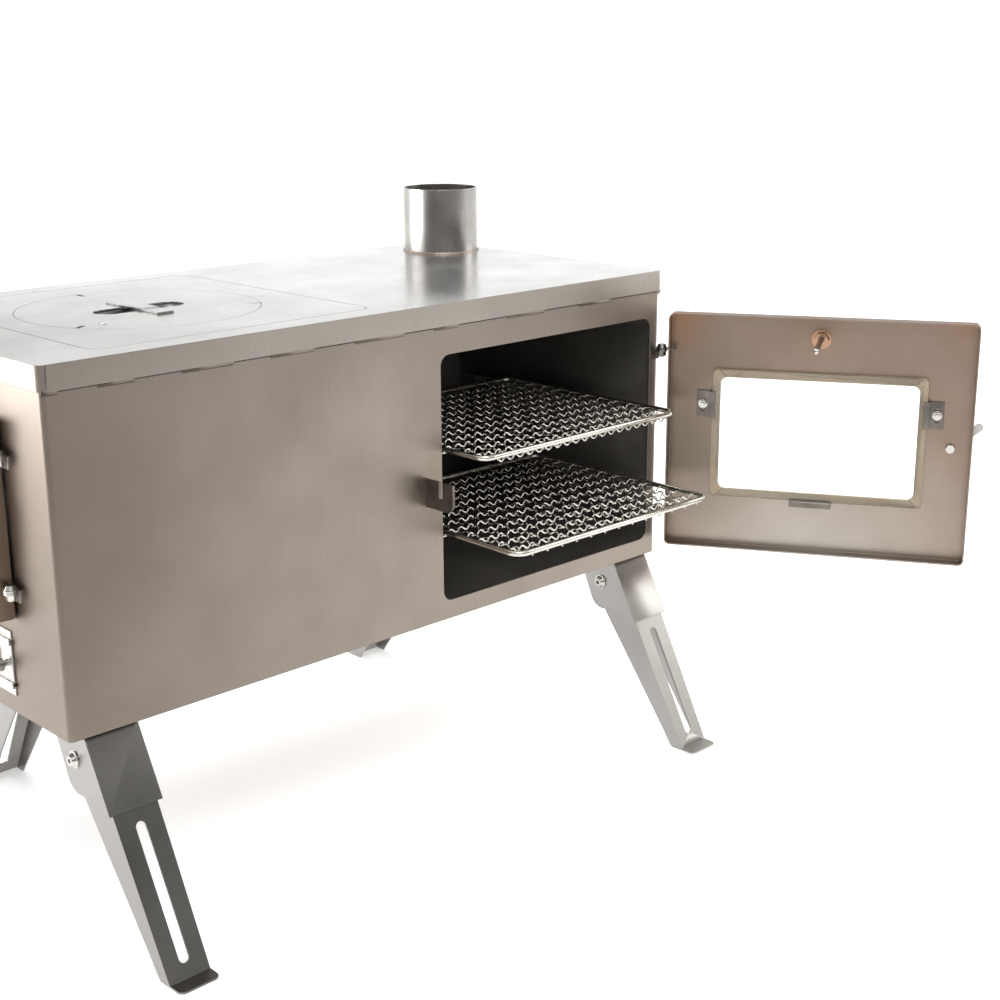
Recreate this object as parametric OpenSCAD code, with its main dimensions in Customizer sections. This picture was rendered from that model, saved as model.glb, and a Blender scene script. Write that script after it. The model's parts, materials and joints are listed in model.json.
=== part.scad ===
// Folding camp stove with a side oven: sheet steel body on four folding legs,
// a drop-in hob plate over the firebox and a glazed door on the oven.

/* [Body] */
// Length of the body along X
body_l = 600; // [520:1:720]
// Depth of the body along Y
body_d = 300; // [285:1:360]
// Height of the body, from its floor to its top surface
body_h = 259; // [250:1:300]
// Thickness of the body's sheet
body_t = 1.5; // [1:0.1:2.5]
// Radius of the body's upright bends
body_r = 4; // [3.2:0.1:8]
// Height of the floor above the ground
ground_clear = 158.8; // [150:0.1:190]

/* [Top] */
// Height of the top's turned-down lip
lip_h = 17.8; // [10:0.1:25]
// How far the lip stands out from the body's walls
lip_out = 1.9; // [1.8:0.1:3]
// Width of the hob plate's cut-out along X
hob_w = 241; // [220:1:250]
// Strip of the top left on each long side of the cut-out
hob_side = 21; // [18:0.5:35]
// Corner radius of the cut-out
hob_r = 12; // [6:1:20]
// Distance from the body's left end to the cut-out
hob_from_left = 50; // [30:1:60]
// Gap round the hob plate
hob_gap = 0.7; // [0.4:0.1:1.2]
// Width of the ledges that carry the hob plate and its lid
ledge_w = 8; // [5:1:10]
// Thickness of the ledges
ledge_t = 1.5; // [1:0.1:3]
// Radius of the hob's round opening
lid_r = 92.6; // [60:0.1:98]
// Gap round the lid
lid_gap = 0.5; // [0.3:0.1:1]
// Length of each relief slit in the hob lid's rim
slit_l = 11; // [5:1:14]
// Width of each relief slit
slit_w = 3; // [0.8:0.1:4]
// Length of the finger slot in the lid
finger_l = 76; // [50:1:80]
// Width of the finger slot
finger_w = 24; // [15:1:26]
// Length of the lifting strap across the slot
strap_l = 74; // [50:1:90]
// Width of the lifting strap
strap_w = 14; // [10:1:18]
// Height of the strap above the lid
strap_rise = 2.2; // [2:0.1:8]

/* [Flue] */
// Outer diameter of the flue collar
flue_d = 70; // [60:1:75]
// Height of the collar above the top
flue_h = 60; // [40:1:80]
// Wall of the collar
flue_t = 1.5; // [1:0.1:3]
// Distance from the body's right end to the collar's axis
flue_from_right = 40; // [39:1:60]
// Distance from the body's back to the collar's axis
flue_from_back = 57; // [42:1:75]

/* [Oven] */
// Width of the oven's mouth
mouth_w = 248.4; // [200:0.1:255]
// Height of the oven's mouth
mouth_h = 202.8; // [190:0.1:206]
// Corner radius of the mouth
mouth_r = 9; // [4:1:14]
// Distance from the body's right end to the mouth
mouth_from_right = 11.8; // [11.5:0.1:14]
// Height of the mouth above the body's floor
mouth_z = 15.5; // [12:0.1:20]
// How far the oven box stands outside the mouth all round
liner_step = 2.8; // [2:0.1:3.4]
// Thickness of the oven box's sheet
liner_t = 1.2; // [0.8:0.1:1.8]
// Depth of the oven box
liner_d = 250; // [246:1:255]
// Width of each rack rail
rail_w = 14; // [10:1:20]
// Thickness of each rack rail
rail_t = 1.2; // [0.8:0.1:2]

/* [Racks] */
// Gap between a rack and each side of the mouth
rack_side = 6.7; // [5:0.1:9]
// Gap between the grate and the firebox's front and rear
grate_side = 40; // [30:1:60]
// Depth of a rack
rack_d = 214; // [180:1:216]
// Diameter of the rack's frame rod
rod_d = 4.5; // [3:0.1:5]
// Corner radius of the rack's frame
rack_r = 10; // [8:0.5:16]
// Diameter of the crimped mesh wires
wire_d = 2.2; // [1.6:0.1:2.6]
// Number of mesh gaps across the rack
gaps_x = 14; // [8:1:17]
// Number of mesh gaps along the rack
gaps_y = 12; // [8:1:16]
// Height of the lower rack above the body's floor
lower_rack_z = 71; // [60:0.1:80]
// Height of the upper rack above the body's floor
upper_rack_z = 140.4; // [125:0.1:150]
// How far the lower rack is drawn out
lower_rack_out = 79; // [60:1:85]
// How far the upper rack is drawn out
upper_rack_out = 41; // [30:1:50]

/* [Oven door] */
// Angle at which the oven door stands open
oven_open = 120.7; // [100:0.1:130]
// Depth of the door pans
pan_depth = 13.2; // [11:0.1:14]
// Sheet thickness of the door pans
pan_t = 1.2; // [0.8:0.1:1.6]
// Corner radius of the door pans
pan_r = 5; // [4:0.5:8]
// Gap between a closed door and the body
pan_gap = 1.5; // [1:0.1:2]
// How far the oven door covers the wall above and below the mouth
pan_cover = 4.6; // [3:0.1:8]
// How far the oven door covers the wall beyond the mouth, at the latch
pan_cover_latch = 12.8; // [8:0.1:16]
// Width of the oven door's clear window
window_w = 171; // [120:1:190]
// Height of the oven door's clear window
window_h = 101.5; // [70:0.5:110]
// How far the window's centre lies below the door's centre
window_drop = 1.4; // [0:0.1:4]
// Width of the gasket round a window
gasket_w = 7; // [5:0.5:9]
// Thickness of the gasket
gasket_t = 1; // [0.6:0.1:1.5]
// Thickness of the window glass
glass_t = 3; // [2:0.1:4]

/* [Door hinges] */
// Diameter of a hinge bolt
pin_d = 4; // [3:0.1:5]
// Distance from the body's edge to the hinge axis
pin_in = 3; // [2:0.1:4]
// Distance from the body's wall to the hinge axis
pin_out = 6.5; // [6:0.1:8]
// Distance from the hinge axis to the edge of the door
pin_to_pan = 6.5; // [6:0.1:8]
// Thickness of a hinge tab
tab_t = 1.5; // [1:0.1:2.5]
// Height of the lower hinge above the oven door's lower edge
hinge_low = 32; // [20:1:60]
// Distance from the oven door's upper edge down to the upper hinge
hinge_high = 33; // [20:1:60]

/* [Latches] */
// Thickness of a latch lever
lever_t = 2.5; // [1.5:0.1:3]
// Length of a lever's nose from its bolt
nose_l = 33; // [30:1:38]
// Height of a lever's nose
nose_h = 7; // [5:0.1:8]
// Length of a lever's arm from its bolt
arm_l = 56; // [35:1:70]
// Angle of a lever's arm below the line of its nose
arm_drop = 48; // [30:1:60]
// Distance from a door's free edge to its latch bolt
latch_in = 18; // [14:1:22]
// Angle by which a lever is lifted out of its catch
latch_lift = 40; // [36:1:50]
// Height of the oven latch's bolt above the body's floor
oven_latch_z = 112.8; // [90:0.1:140]
// Thickness of a catch plate
catch_t = 2.5; // [1.5:0.1:3]
// How far a catch plate stands out from the body
catch_out = 31; // [28:1:36]
// Height of a catch plate
catch_h = 23; // [20:1:28]
// Width of the slot in a catch plate
catch_slot = 5.3; // [4.5:0.1:6.5]
// Diameter of a latch knob
knob_d = 15; // [10:1:20]
// Length of a latch knob
knob_l = 26; // [15:1:35]

/* [Thermometer] */
// Diameter of the thermometer's case
thermo_d = 36; // [28:1:40]
// Depth of the thermometer's case
thermo_case_h = 9; // [8:0.1:12]
// Distance from the oven door's upper edge down to the thermometer
thermo_down = 19.6; // [17:0.1:24]
// Diameter of the thermometer's stem
stem_d = 5; // [4:0.1:6]
// Length of the stem inside the door
stem_l = 58; // [15:1:60]

/* [Firebox door] */
// Width of the fuel opening in the body's left end
fuel_w = 160; // [120:1:170]
// Height of the fuel opening
fuel_h = 120; // [90:1:130]
// Height of the fuel opening above the body's floor
fuel_z = 84; // [75:1:95]
// How far the firebox door covers the wall round its opening
fuel_cover = 11; // [8:1:14]
// Width of the firebox door's clear window
fuel_window_w = 104; // [80:1:115]
// Height of the firebox door's clear window
fuel_window_h = 64; // [40:1:80]
// Number of air slots under the firebox door
air_slots = 5; // [3:1:7]
// Width of an air slot
air_slot_w = 10; // [6:1:11]
// Height of an air slot
air_slot_h = 22; // [14:1:26]
// Distance between air slots
air_pitch = 24; // [23:0.5:28]
// Height of the air slots' centre above the body's floor
air_z = 38; // [30:1:42]

/* [Legs] */
// Angle between a leg and the upright
splay = 27.8; // [20:0.1:32]
// Width of a leg bracket
bracket_w = 42; // [40:0.5:50]
// Sheet thickness of the brackets
bracket_t = 1.5; // [1.2:0.1:2]
// Length of a bracket along its leg
bracket_l = 56.8; // [50:0.1:66]
// Depth of a bracket's side walls
bracket_n = 41; // [36:0.5:44]
// Sheet thickness of the legs
leg_t = 1.5; // [1.2:0.1:2]
// Width of a leg at its bolt
leg_w = 36.5; // [32:0.5:37]
// Width of a leg at its foot
leg_foot_w = 32.5; // [26:0.5:34]
// Depth of a leg's side walls at the bolt
leg_n = 31; // [26:0.5:34]
// Depth of a leg's side walls at the foot
leg_foot_n = 10.5; // [8:0.5:14]
// Width of the slot in a leg
leg_slot_w = 8; // [5:0.5:12]
// Distance from the body's end to the front brackets
front_leg_in = 11.4; // [8:0.1:14]
// Distance from the body's end to the rear brackets
rear_leg_in = 73.4; // [60:0.1:80]
// Distance from the body's back to the rear brackets
rear_leg_from_back = 71; // [60:1:80]
// Diameter of a leg bolt
leg_bolt_d = 6; // [5:0.1:8]
// Length of the turned-out foot
foot_l = 12.5; // [8:0.5:16]

/* [Hidden] */

$fn = 64;
// Small overlap of solids that are fused, and the excess of a cutting tool
eps = 0.1;
// Running clearance of a bolt in its hole
pin_clear = 0.05;
// Gap between pieces that slide or lie on each other
seat_gap = 0.2;

// Width of a rack
rack_w = mouth_w - 2 * rack_side;
hob_d = body_d - 2 * hob_side;

// Oven door, in the frame of its hinge axis: it reaches from the pin towards -X
oven_pan_w = mouth_from_right + mouth_w + pan_cover_latch - pin_in - pin_to_pan;
oven_pan_h = mouth_h + 2 * pan_cover;
fuel_pan_w = fuel_w + 2 * fuel_cover;
fuel_pan_h = fuel_h + 2 * fuel_cover;
// A pan's open edge, skin and outer face, as distances from the hinge axis along Y
pan_edge = pin_out - pan_gap;
pan_skin = pan_edge - pan_depth + pan_t;
pan_face = pan_edge - pan_depth;
lever_y = pan_face - 1.5 - lever_t;
glass_margin = gasket_w;

// How far the open door and the knobs reach past the body, which centres the part on the origin
tip_u = pin_to_pan + oven_pan_w;
knob_u = pin_to_pan + oven_pan_w - latch_in - arm_l * cos(latch_lift + arm_drop);
reach_door = -tip_u * cos(oven_open) - pan_face * sin(oven_open);
reach_knob = -(knob_u + knob_d * 0.4) * cos(oven_open) + (knob_l - lever_y) * sin(oven_open);
reach_right = max(reach_door, reach_knob) - pin_in;
reach_front = pin_out + tip_u * sin(oven_open) + pan_edge * -cos(oven_open);
reach_left = pin_out - pan_face + lever_t + knob_l + 2;
foot_y = ground_clear * tan(splay) + foot_l;
reach_back = foot_y - rear_leg_from_back;
right_x = (body_l + reach_left - reach_right) / 2;
left_x = right_x - body_l;
front_y = (reach_front - body_d - reach_back) / 2;
back_y = front_y + body_d;
floor_z = ground_clear;
top_z = floor_z + body_h;
mid_x = (left_x + right_x) / 2;
mid_y = (front_y + back_y) / 2;

hob_x = left_x + hob_from_left + hob_w / 2;
lid_x = hob_x - 4;
flue_x = right_x - flue_from_right;
flue_y = back_y - flue_from_back;
mouth_x = right_x - mouth_from_right - mouth_w / 2;
mouth_mid_z = floor_z + mouth_z + mouth_h / 2;
liner_w = mouth_w + 2 * liner_step;
liner_h = mouth_h + 2 * liner_step;

// Places of the hinge axes and of the doors' lower edges
oven_pin_x = right_x - pin_in;
oven_pin_y = front_y - pin_out;
oven_door_z = floor_z + mouth_z - pan_cover;
fuel_pin_x = left_x - pin_out;
fuel_pin_y = mid_y - fuel_pan_w / 2 - pin_to_pan;
fuel_door_z = floor_z + fuel_z - fuel_cover;
fuel_latch_up = fuel_pan_h / 2;
fuel_hinge_in = 24;
thermo_up = oven_pan_h - thermo_down;

// A leg bolt, as distances down along the leg and in from the bracket's web
bolt_s = 11.5;
bolt_n = 23;
ear_r = 10;
web_n = bracket_t + 0.4;
web_top = bolt_s + 14.5;
foot_s = (ground_clear - web_n * sin(splay)) / cos(splay);
leg_slot_top = web_top + 40;
leg_slot_end = foot_s - 12;

steel = [0.72, 0.70, 0.67];
bright = [0.80, 0.80, 0.80];
dark = [0.16, 0.15, 0.14];
tan_seal = [0.68, 0.58, 0.42];
clear_glass = [0.80, 0.88, 0.90, 0.35];

// Flat outline with round corners, centred on the origin
module round_rect(w, h, r) {
  square([w - 2 * r, h], center = true);
  square([w, h - 2 * r], center = true);
  for (sx = [-1, 1], sy = [-1, 1])
    translate([sx * (w / 2 - r), sy * (h / 2 - r)]) circle(r);
}

// Flat outline with round ends, along X
module stadium(l, w) {
  square([l - w, w], center = true);
  for (sx = [-1, 1]) translate([sx * (l - w) / 2, 0]) circle(w / 2);
}

// A sheet that stands across Y: its outline is drawn in X and Z, its back face is at y = 0
module sheet_y(t) rotate([90, 0, 0]) linear_extrude(t) children();

// A sheet that stands across X: its outline is drawn in Y and Z, its left face is at x = 0
module sheet_x(t) rotate([90, 0, 90]) linear_extrude(t) children();

// A round shaft or hole along X or along Y, centred on the origin
module bar_x(r, l) rotate([0, 90, 0]) cylinder(r = r, h = l, center = true);
module bar_y(r, l) rotate([90, 0, 0]) cylinder(r = r, h = l, center = true);

module body_shell() color(steel) difference() {
  translate([mid_x, mid_y, floor_z]) difference() {
    linear_extrude(body_h - body_t) round_rect(body_l, body_d, body_r);
    translate([0, 0, body_t]) linear_extrude(body_h)
      round_rect(body_l - 2 * body_t, body_d - 2 * body_t, body_r - body_t);
  }
  translate([mouth_x, front_y + body_t + 1, mouth_mid_z]) sheet_y(body_t + 2)
    round_rect(mouth_w, mouth_h, mouth_r);
  translate([left_x - 1, mid_y, floor_z + fuel_z + fuel_h / 2]) sheet_x(body_t + 2)
    round_rect(fuel_w, fuel_h, mouth_r);
  for (i = [0 : air_slots - 1])
    translate([left_x - 1, mid_y + (i - (air_slots - 1) / 2) * air_pitch, floor_z + air_z])
      sheet_x(body_t + 2) rotate(90) stadium(air_slot_h, air_slot_w);
}

module top_plate() color(bright) difference() {
  translate([mid_x, mid_y, top_z - lip_h]) difference() {
    linear_extrude(lip_h) round_rect(body_l + 2 * lip_out, body_d + 2 * lip_out, body_r + lip_out);
    translate([0, 0, -body_t]) linear_extrude(lip_h)
      round_rect(body_l + 2 * lip_out - 2 * body_t, body_d + 2 * lip_out - 2 * body_t,
                 body_r + lip_out - body_t);
  }
  translate([hob_x, mid_y, top_z - 2 * body_t]) linear_extrude(3 * body_t) round_rect(hob_w, hob_d, hob_r);
  translate([flue_x, flue_y, top_z - 2 * body_t]) cylinder(r = flue_d / 2 - flue_t, h = 3 * body_t);
}

// Ledge welded under the top, round the cut-out
module hob_frame() color(steel) translate([hob_x, mid_y, top_z - body_t - ledge_t])
  linear_extrude(ledge_t) difference() {
    round_rect(hob_w + 2 * ledge_w, hob_d + 2 * ledge_w, hob_r + ledge_w);
    round_rect(hob_w - 2 * ledge_w, hob_d - 2 * ledge_w, max(hob_r - ledge_w, 2));
  }

module hob_plate() color(bright) difference() {
  translate([hob_x, mid_y, top_z - body_t]) linear_extrude(body_t)
    round_rect(hob_w - 2 * hob_gap, hob_d - 2 * hob_gap, hob_r - hob_gap);
  translate([lid_x, mid_y, top_z - 2 * body_t]) cylinder(r = lid_r, h = 3 * body_t, $fn = 96);
}

// Ring welded under the hob plate, which the lid drops onto
module hob_lid_ring() color(steel) translate([lid_x, mid_y, top_z - body_t - ledge_t]) difference() {
  cylinder(r = lid_r + 5, h = ledge_t, $fn = 96);
  translate([0, 0, -eps]) cylinder(r = lid_r - ledge_w, h = ledge_t + 2 * eps, $fn = 96);
}

module hob_lid() color(bright) translate([lid_x, mid_y, top_z - body_t]) difference() {
  cylinder(r = lid_r - lid_gap, h = body_t, $fn = 96);
  translate([0, 0, -eps]) linear_extrude(body_t + 2 * eps) stadium(finger_l, finger_w);
  for (a = [90, -30, 210]) rotate(a)
    translate([lid_r - slit_l, -slit_w / 2, -eps]) cube([slit_l + 1, slit_w, body_t + 2 * eps]);
}

// Bent strap across the finger slot: two feet on the lid, two risers and a bridge
module hob_lid_strap() color(bright) translate([lid_x, mid_y, top_z])
  rotate([90, 0, 90]) translate([0, 0, -strap_w / 2]) linear_extrude(strap_w)
    polygon(concat(strap_edge(0), [for (i = [5 : -1 : 0]) strap_edge(body_t)[i]]));

// One long edge of the strap's outline, at a height up from its lower face
function strap_edge(up) = [
  [-strap_l / 2, up],
  [-finger_w / 2 - 7 - up * 0.4, up],
  [-finger_w / 2 - 1 - up * 0.4, strap_rise - body_t + up],
  [finger_w / 2 + 1 + up * 0.4, strap_rise - body_t + up],
  [finger_w / 2 + 7 + up * 0.4, up],
  [strap_l / 2, up]
];

module flue_collar() color(bright) translate([flue_x, flue_y, top_z]) difference() {
  union() {
    cylinder(r = flue_d / 2, h = flue_h, $fn = 96);
    cylinder(r1 = flue_d / 2 + 1.5, r2 = flue_d / 2, h = 1.5, $fn = 96);
  }
  translate([0, 0, -eps]) cylinder(r = flue_d / 2 - flue_t, h = flue_h + 2 * eps, $fn = 96);
}

// Box behind the mouth, open at its front; the flue gas passes over and behind it
module oven_liner() color(dark) translate([mouth_x, front_y + body_t, mouth_mid_z])
  difference() {
    translate([0, liner_d, 0]) sheet_y(liner_d) round_rect(liner_w, liner_h, mouth_r + liner_step);
    translate([0, liner_d - liner_t, 0]) sheet_y(liner_d)
      round_rect(liner_w - 2 * liner_t, liner_h - 2 * liner_t, mouth_r + liner_step - liner_t);
  }

// Angle rails welded to the oven's side walls, two for each rack
module rack_rails() color(steel)
  for (side = [-1, 1], z = [lower_rack_z, upper_rack_z]) {
    wall_x = mouth_x + side * (liner_w / 2 - liner_t);
    run = liner_d - 30;
    translate([wall_x, front_y + body_t + 6, floor_z + z - rod_d / 2 - seat_gap]) mirror([side < 0 ? 0 : 1, 0, 0]) {
      translate([0, 0, -rail_t]) cube([rail_w, run, rail_t]);
      translate([0, 0, -9]) cube([rail_t, run, 9]);
    }
  }

// Folded grate on the firebox floor
module fire_grate() color(dark) {
  grate_x0 = left_x + 24;
  grate_l = body_l - mouth_from_right - mouth_w - 70;
  grate_w = body_d - 2 * grate_side;
  grate_h = 20;
  translate([grate_x0, mid_y - grate_w / 2, floor_z + body_t]) {
    for (y = [0, grate_w - 2]) translate([0, y, 0]) cube([grate_l, 2, grate_h]);
    translate([0, 0, grate_h - 2]) difference() {
      cube([grate_l, grate_w, 2]);
      for (i = [1 : 8], j = [0 : 1])
        translate([i * grate_l / 9, grate_w * (0.27 + 0.46 * j), -eps]) rotate(90)
          linear_extrude(2 + 2 * eps) stadium(grate_w * 0.38, 10);
    }
  }
}

// Places a leg or bracket: Y runs in from the web and -Z down along the leg
module leg_site(right, front) {
  inset = (front ? front_leg_in : rear_leg_in) + bracket_w / 2;
  translate([right ? right_x - inset : left_x + inset,
             front ? front_y + web_n : back_y - rear_leg_from_back, floor_z])
    mirror([0, front ? 0 : 1, 0]) rotate([-splay, 0, 0]) children();
}

// Folded bracket: a web in front, a wall on each side and a cap welded to the floor
module leg_bracket(right, front) color(bright) leg_site(right, front) {
  floor_s = bracket_n * tan(splay);
  difference() {
    union() {
      translate([0, bracket_t, 0]) sheet_y(bracket_t)
        translate([-bracket_w / 2, -bracket_l]) square([bracket_w, bracket_l]);
      for (side = [0, 1]) mirror([side, 0, 0])
        translate([bracket_w / 2 - bracket_t, 0, 0]) sheet_x(bracket_t)
          polygon([[0, 0], [bracket_n - 3, floor_s - 1.6], [bracket_n, -24], [bracket_n - 1.5, -29],
                   [bracket_n - 5, -33.5], [12, -45.5], [8.5, -48], [7, -54], [0, -bracket_l]]);
      rotate([splay, 0, 0]) translate([-bracket_w / 2, 0.4, -bracket_t])
        cube([bracket_w, (bracket_n - 3) / cos(splay) - 1.5, bracket_t]);
    }
    translate([0, bolt_n, -bolt_s]) bar_x(leg_bolt_d / 2 + pin_clear, bracket_w + 2);
    rotate([splay, 0, 0]) translate([-bracket_w, -30, 0]) cube([2 * bracket_w, 100, 30]);
  }
}

// Tapered channel leg with a slotted web and a turned-out foot
module leg(right, front) color(bright) leg_site(right, front) {
  taper = atan((leg_w - leg_foot_w) / 2 / (foot_s - bolt_s));
  web_end = foot_s - leg_t * tan(splay) - eps;
  difference() {
    union() {
      translate([0, web_n + leg_t, 0]) sheet_y(leg_t)
        polygon([[-leg_w / 2 + 0.4, -web_top], [leg_w / 2 - 0.4, -web_top],
                 [leg_foot_w / 2, -web_end], [-leg_foot_w / 2, -web_end]]);
      for (side = [0, 1]) mirror([side, 0, 0])
        translate([leg_w / 2, 0, -bolt_s]) rotate([0, taper, 0]) translate([-leg_t, 0, 0])
          sheet_x(leg_t) union() {
            translate([bolt_n, 0]) circle(ear_r);
            polygon([[bolt_n - ear_r, 0], [web_n, bolt_s - web_top], [web_n, bolt_s - web_end],
                     [web_n + leg_foot_n - 3, bolt_s - web_end], [web_n + leg_foot_n, bolt_s - web_end + 4],
                     [web_n + leg_n, -28], [bolt_n + ear_r, 0]]);
          }
      translate([0, web_n, -foot_s]) rotate([splay, 0, 0]) translate([0, 1, 0])
        linear_extrude(leg_t) intersection() {
          translate([0, 2]) round_rect(leg_foot_w, 2 * foot_l + 6, 5);
          translate([-leg_w, -2 * foot_l]) square([2 * leg_w, 2 * foot_l]);
        }
    }
    translate([0, bolt_n, -bolt_s]) bar_x(leg_bolt_d / 2 + pin_clear, bracket_w);
    translate([0, web_n + leg_t + 1, -(leg_slot_top + leg_slot_end) / 2]) sheet_y(leg_t + 2)
      rotate(90) stadium(leg_slot_end - leg_slot_top, leg_slot_w);
    translate([0, web_n, -foot_s]) rotate([splay, 0, 0])
      translate([-leg_w, -40, -10]) cube([2 * leg_w, 80, 10]);
  }
}

// Button-head bolt and nut through each bracket
module leg_bolts() color(bright)
  for (right = [true, false], front = [true, false]) leg_site(right, front)
    translate([0, bolt_n, -bolt_s]) {
      out = bracket_w / 2;
      bar_x(leg_bolt_d / 2, 2 * out + 2 * eps);
      for (side = [-1, 1]) translate([side * (out + 0.6), 0, 0]) bar_x(leg_bolt_d / 2 + 3.2, 1.2);
      translate([-out - 1.2, 0, 0]) rotate([0, -90, 0]) difference() {
        cylinder(r1 = leg_bolt_d / 2 + 2.4, r2 = leg_bolt_d / 2 + 0.6, h = 3.2);
        translate([0, 0, 1.4]) cylinder(r = 2, h = 4, $fn = 6);
      }
      translate([out + 1.2, 0, 0]) rotate([0, 90, 0]) cylinder(r = leg_bolt_d / 2 + 2.6, h = 5, $fn = 6);
    }

// Frames of the two doors: the hinge axis at the origin, the lower edge at z = 0, the pan towards -X
module on_oven_door(angle = oven_open)
  translate([oven_pin_x, oven_pin_y, oven_door_z]) rotate(angle) children();
module on_fuel_door() translate([fuel_pin_x, fuel_pin_y, fuel_door_z]) rotate(-90) children();

// Folded pan with a window cut-out and a ledge tab under the glass
module door_pan(w, h, win_w, win_h, win_z) {
  mid = -pin_to_pan - w / 2;
  translate([mid, pan_edge, h / 2]) difference() {
    sheet_y(pan_depth) round_rect(w, h, pan_r);
    translate([0, eps, 0]) sheet_y(pan_depth - pan_t + eps) round_rect(w - 2 * pan_t, h - 2 * pan_t, pan_r - pan_t);
    translate([0, 0, win_z - h / 2]) sheet_y(pan_depth + 2) round_rect(win_w, win_h, 6);
  }
  translate([mid - 17, pan_skin - eps, win_z - win_h / 2 - glass_margin - seat_gap - 1])
    cube([34, gasket_t + glass_t + 1, 1]);
}

// Seal between the skin and the glass
module window_gasket(w, win_w, win_h, win_z) translate([-pin_to_pan - w / 2, pan_skin + gasket_t, win_z])
  difference() {
    sheet_y(gasket_t) round_rect(win_w + 2 * gasket_w, win_h + 2 * gasket_w, 4);
    translate([0, eps, 0]) sheet_y(gasket_t + 2 * eps) round_rect(win_w, win_h, 6);
  }

module window_glass(w, win_w, win_h, win_z)
  translate([-pin_to_pan - w / 2, pan_skin + gasket_t + glass_t, win_z])
    sheet_y(glass_t) round_rect(win_w + 2 * glass_margin, win_h + 2 * glass_margin, 4);

// Height of the clips' middle over the window's middle, and where their screws stand
clip_up = 26;
clip_h = 24;
clip_foot = 13;
clip_lap = 4;
clip_t = 1.2;
function clip_x(win_w) = win_w / 2 + glass_margin + 1;

// Stepped clips that hold the glass at its two sides
module glass_clips(w, win_w, win_z) for (side = [-1, 1])
  translate([-pin_to_pan - w / 2, 0, win_z + clip_up]) mirror([side < 0 ? 1 : 0, 0, 0]) {
    x0 = clip_x(win_w);
    lap_y = pan_skin + gasket_t + glass_t;
    difference() {
      union() {
        translate([x0, pan_skin, -clip_h / 2]) cube([clip_foot, clip_t, clip_h]);
        translate([x0, pan_skin, -clip_h / 2]) cube([clip_t, gasket_t + glass_t + clip_t, clip_h]);
        translate([x0 - clip_lap, lap_y, -clip_h / 2]) cube([clip_lap + clip_t, clip_t, clip_h]);
      }
      translate([x0 + clip_foot / 2 + 1, pan_skin + clip_t + 1, 0]) sheet_y(clip_t + 2) rotate(90) stadium(13, 4.4);
    }
  }

// Screws with washers and nuts, in the clips' slots
module clip_screws(w, win_w, win_z) for (side = [-1, 1])
  translate([-pin_to_pan - w / 2 + side * (clip_x(win_w) + clip_foot / 2 + 1), pan_skin, win_z + clip_up])
    rotate([-90, 0, 0]) {
      translate([0, 0, -pan_t - 1.6]) cylinder(r1 = 2.4, r2 = 3.6, h = 1.6);
      translate([0, 0, clip_t]) cylinder(r = 4.2, h = 0.8);
      translate([0, 0, clip_t + 0.8]) cylinder(r = 3.6, h = 3, $fn = 6);
      translate([0, 0, clip_t]) cylinder(r = 1.9, h = 6);
    }

// Holes that the clip screws pass on their way through the skin
module screw_shafts(w, win_w, win_z, r) for (side = [-1, 1])
  translate([-pin_to_pan - w / 2 + side * (clip_x(win_w) + clip_foot / 2 + 1), pan_skin, win_z + clip_up])
    rotate([-90, 0, 0]) translate([0, 0, -pan_t - 1]) cylinder(r = r, h = pan_t + clip_t + 2);

// Tab of the door that turns on the hinge bolt
module hinge_tab(z) translate([0, 0, z]) difference() {
  union() {
    cylinder(r = 5, h = tab_t);
    translate([-pin_to_pan - pan_t - 5, -2.5, 0]) cube([pin_to_pan + pan_t + 5, 5, tab_t]);
  }
  translate([0, 0, -1]) cylinder(r = pin_d / 2 + pin_clear, h = tab_t + 2);
}

// Lug on the wall, under the door's tab: a shelf round the bolt and a leaf on the wall
module hinge_lug(z) translate([0, 0, z - seat_gap - tab_t]) difference() {
  union() {
    cylinder(r = 5, h = tab_t);
    translate([-5, 0, 0]) cube([10 - pin_in + 0.5, pin_out, tab_t]);
    translate([-7, pin_out - tab_t, -9 + tab_t]) cube([7 + pin_in - 0.5, tab_t, 9]);
  }
  translate([0, 0, -1]) cylinder(r = pin_d / 2 + pin_clear, h = tab_t + 2);
}

// Bolt with its head over the tab and its nut under the lug
module hinge_bolt(z) {
  top = z + tab_t + seat_gap;
  low = z - seat_gap - tab_t;
  translate([0, 0, low - 5]) cylinder(r = pin_d / 2, h = top - low + 5 + eps);
  translate([0, 0, top]) cylinder(r1 = 4.6, r2 = 3.2, h = 3);
  translate([0, 0, low - 4]) cylinder(r = 4, h = 4, $fn = 6);
}

// Catch plate: it stands out from the wall, with a slot that is open at its top
module catch_plate(w, z) {
  slot_y = lever_y + lever_t / 2;
  slot_low = z - nose_h / 2 - 0.5;
  translate([-pin_to_pan - w - 2 - catch_t, 0, 0]) sheet_x(catch_t) difference() {
    union() {
      translate([pin_out - catch_out, slot_low - 9.3 + 8]) square([catch_out, catch_h - 8]);
      translate([pin_out - catch_out + 8, slot_low - 9.3]) square([catch_out - 8, catch_h]);
      translate([pin_out - catch_out + 8, slot_low - 9.3 + 8]) circle(8);
    }
    translate([slot_y - catch_slot / 2, slot_low]) square([catch_slot, catch_h]);
  }
}

// Places a latch lever on its bolt; the lift turns the nose up
module on_latch(w, z) translate([-pin_to_pan - w + latch_in, 0, z]) rotate([0, latch_lift, 0]) children();

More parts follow.
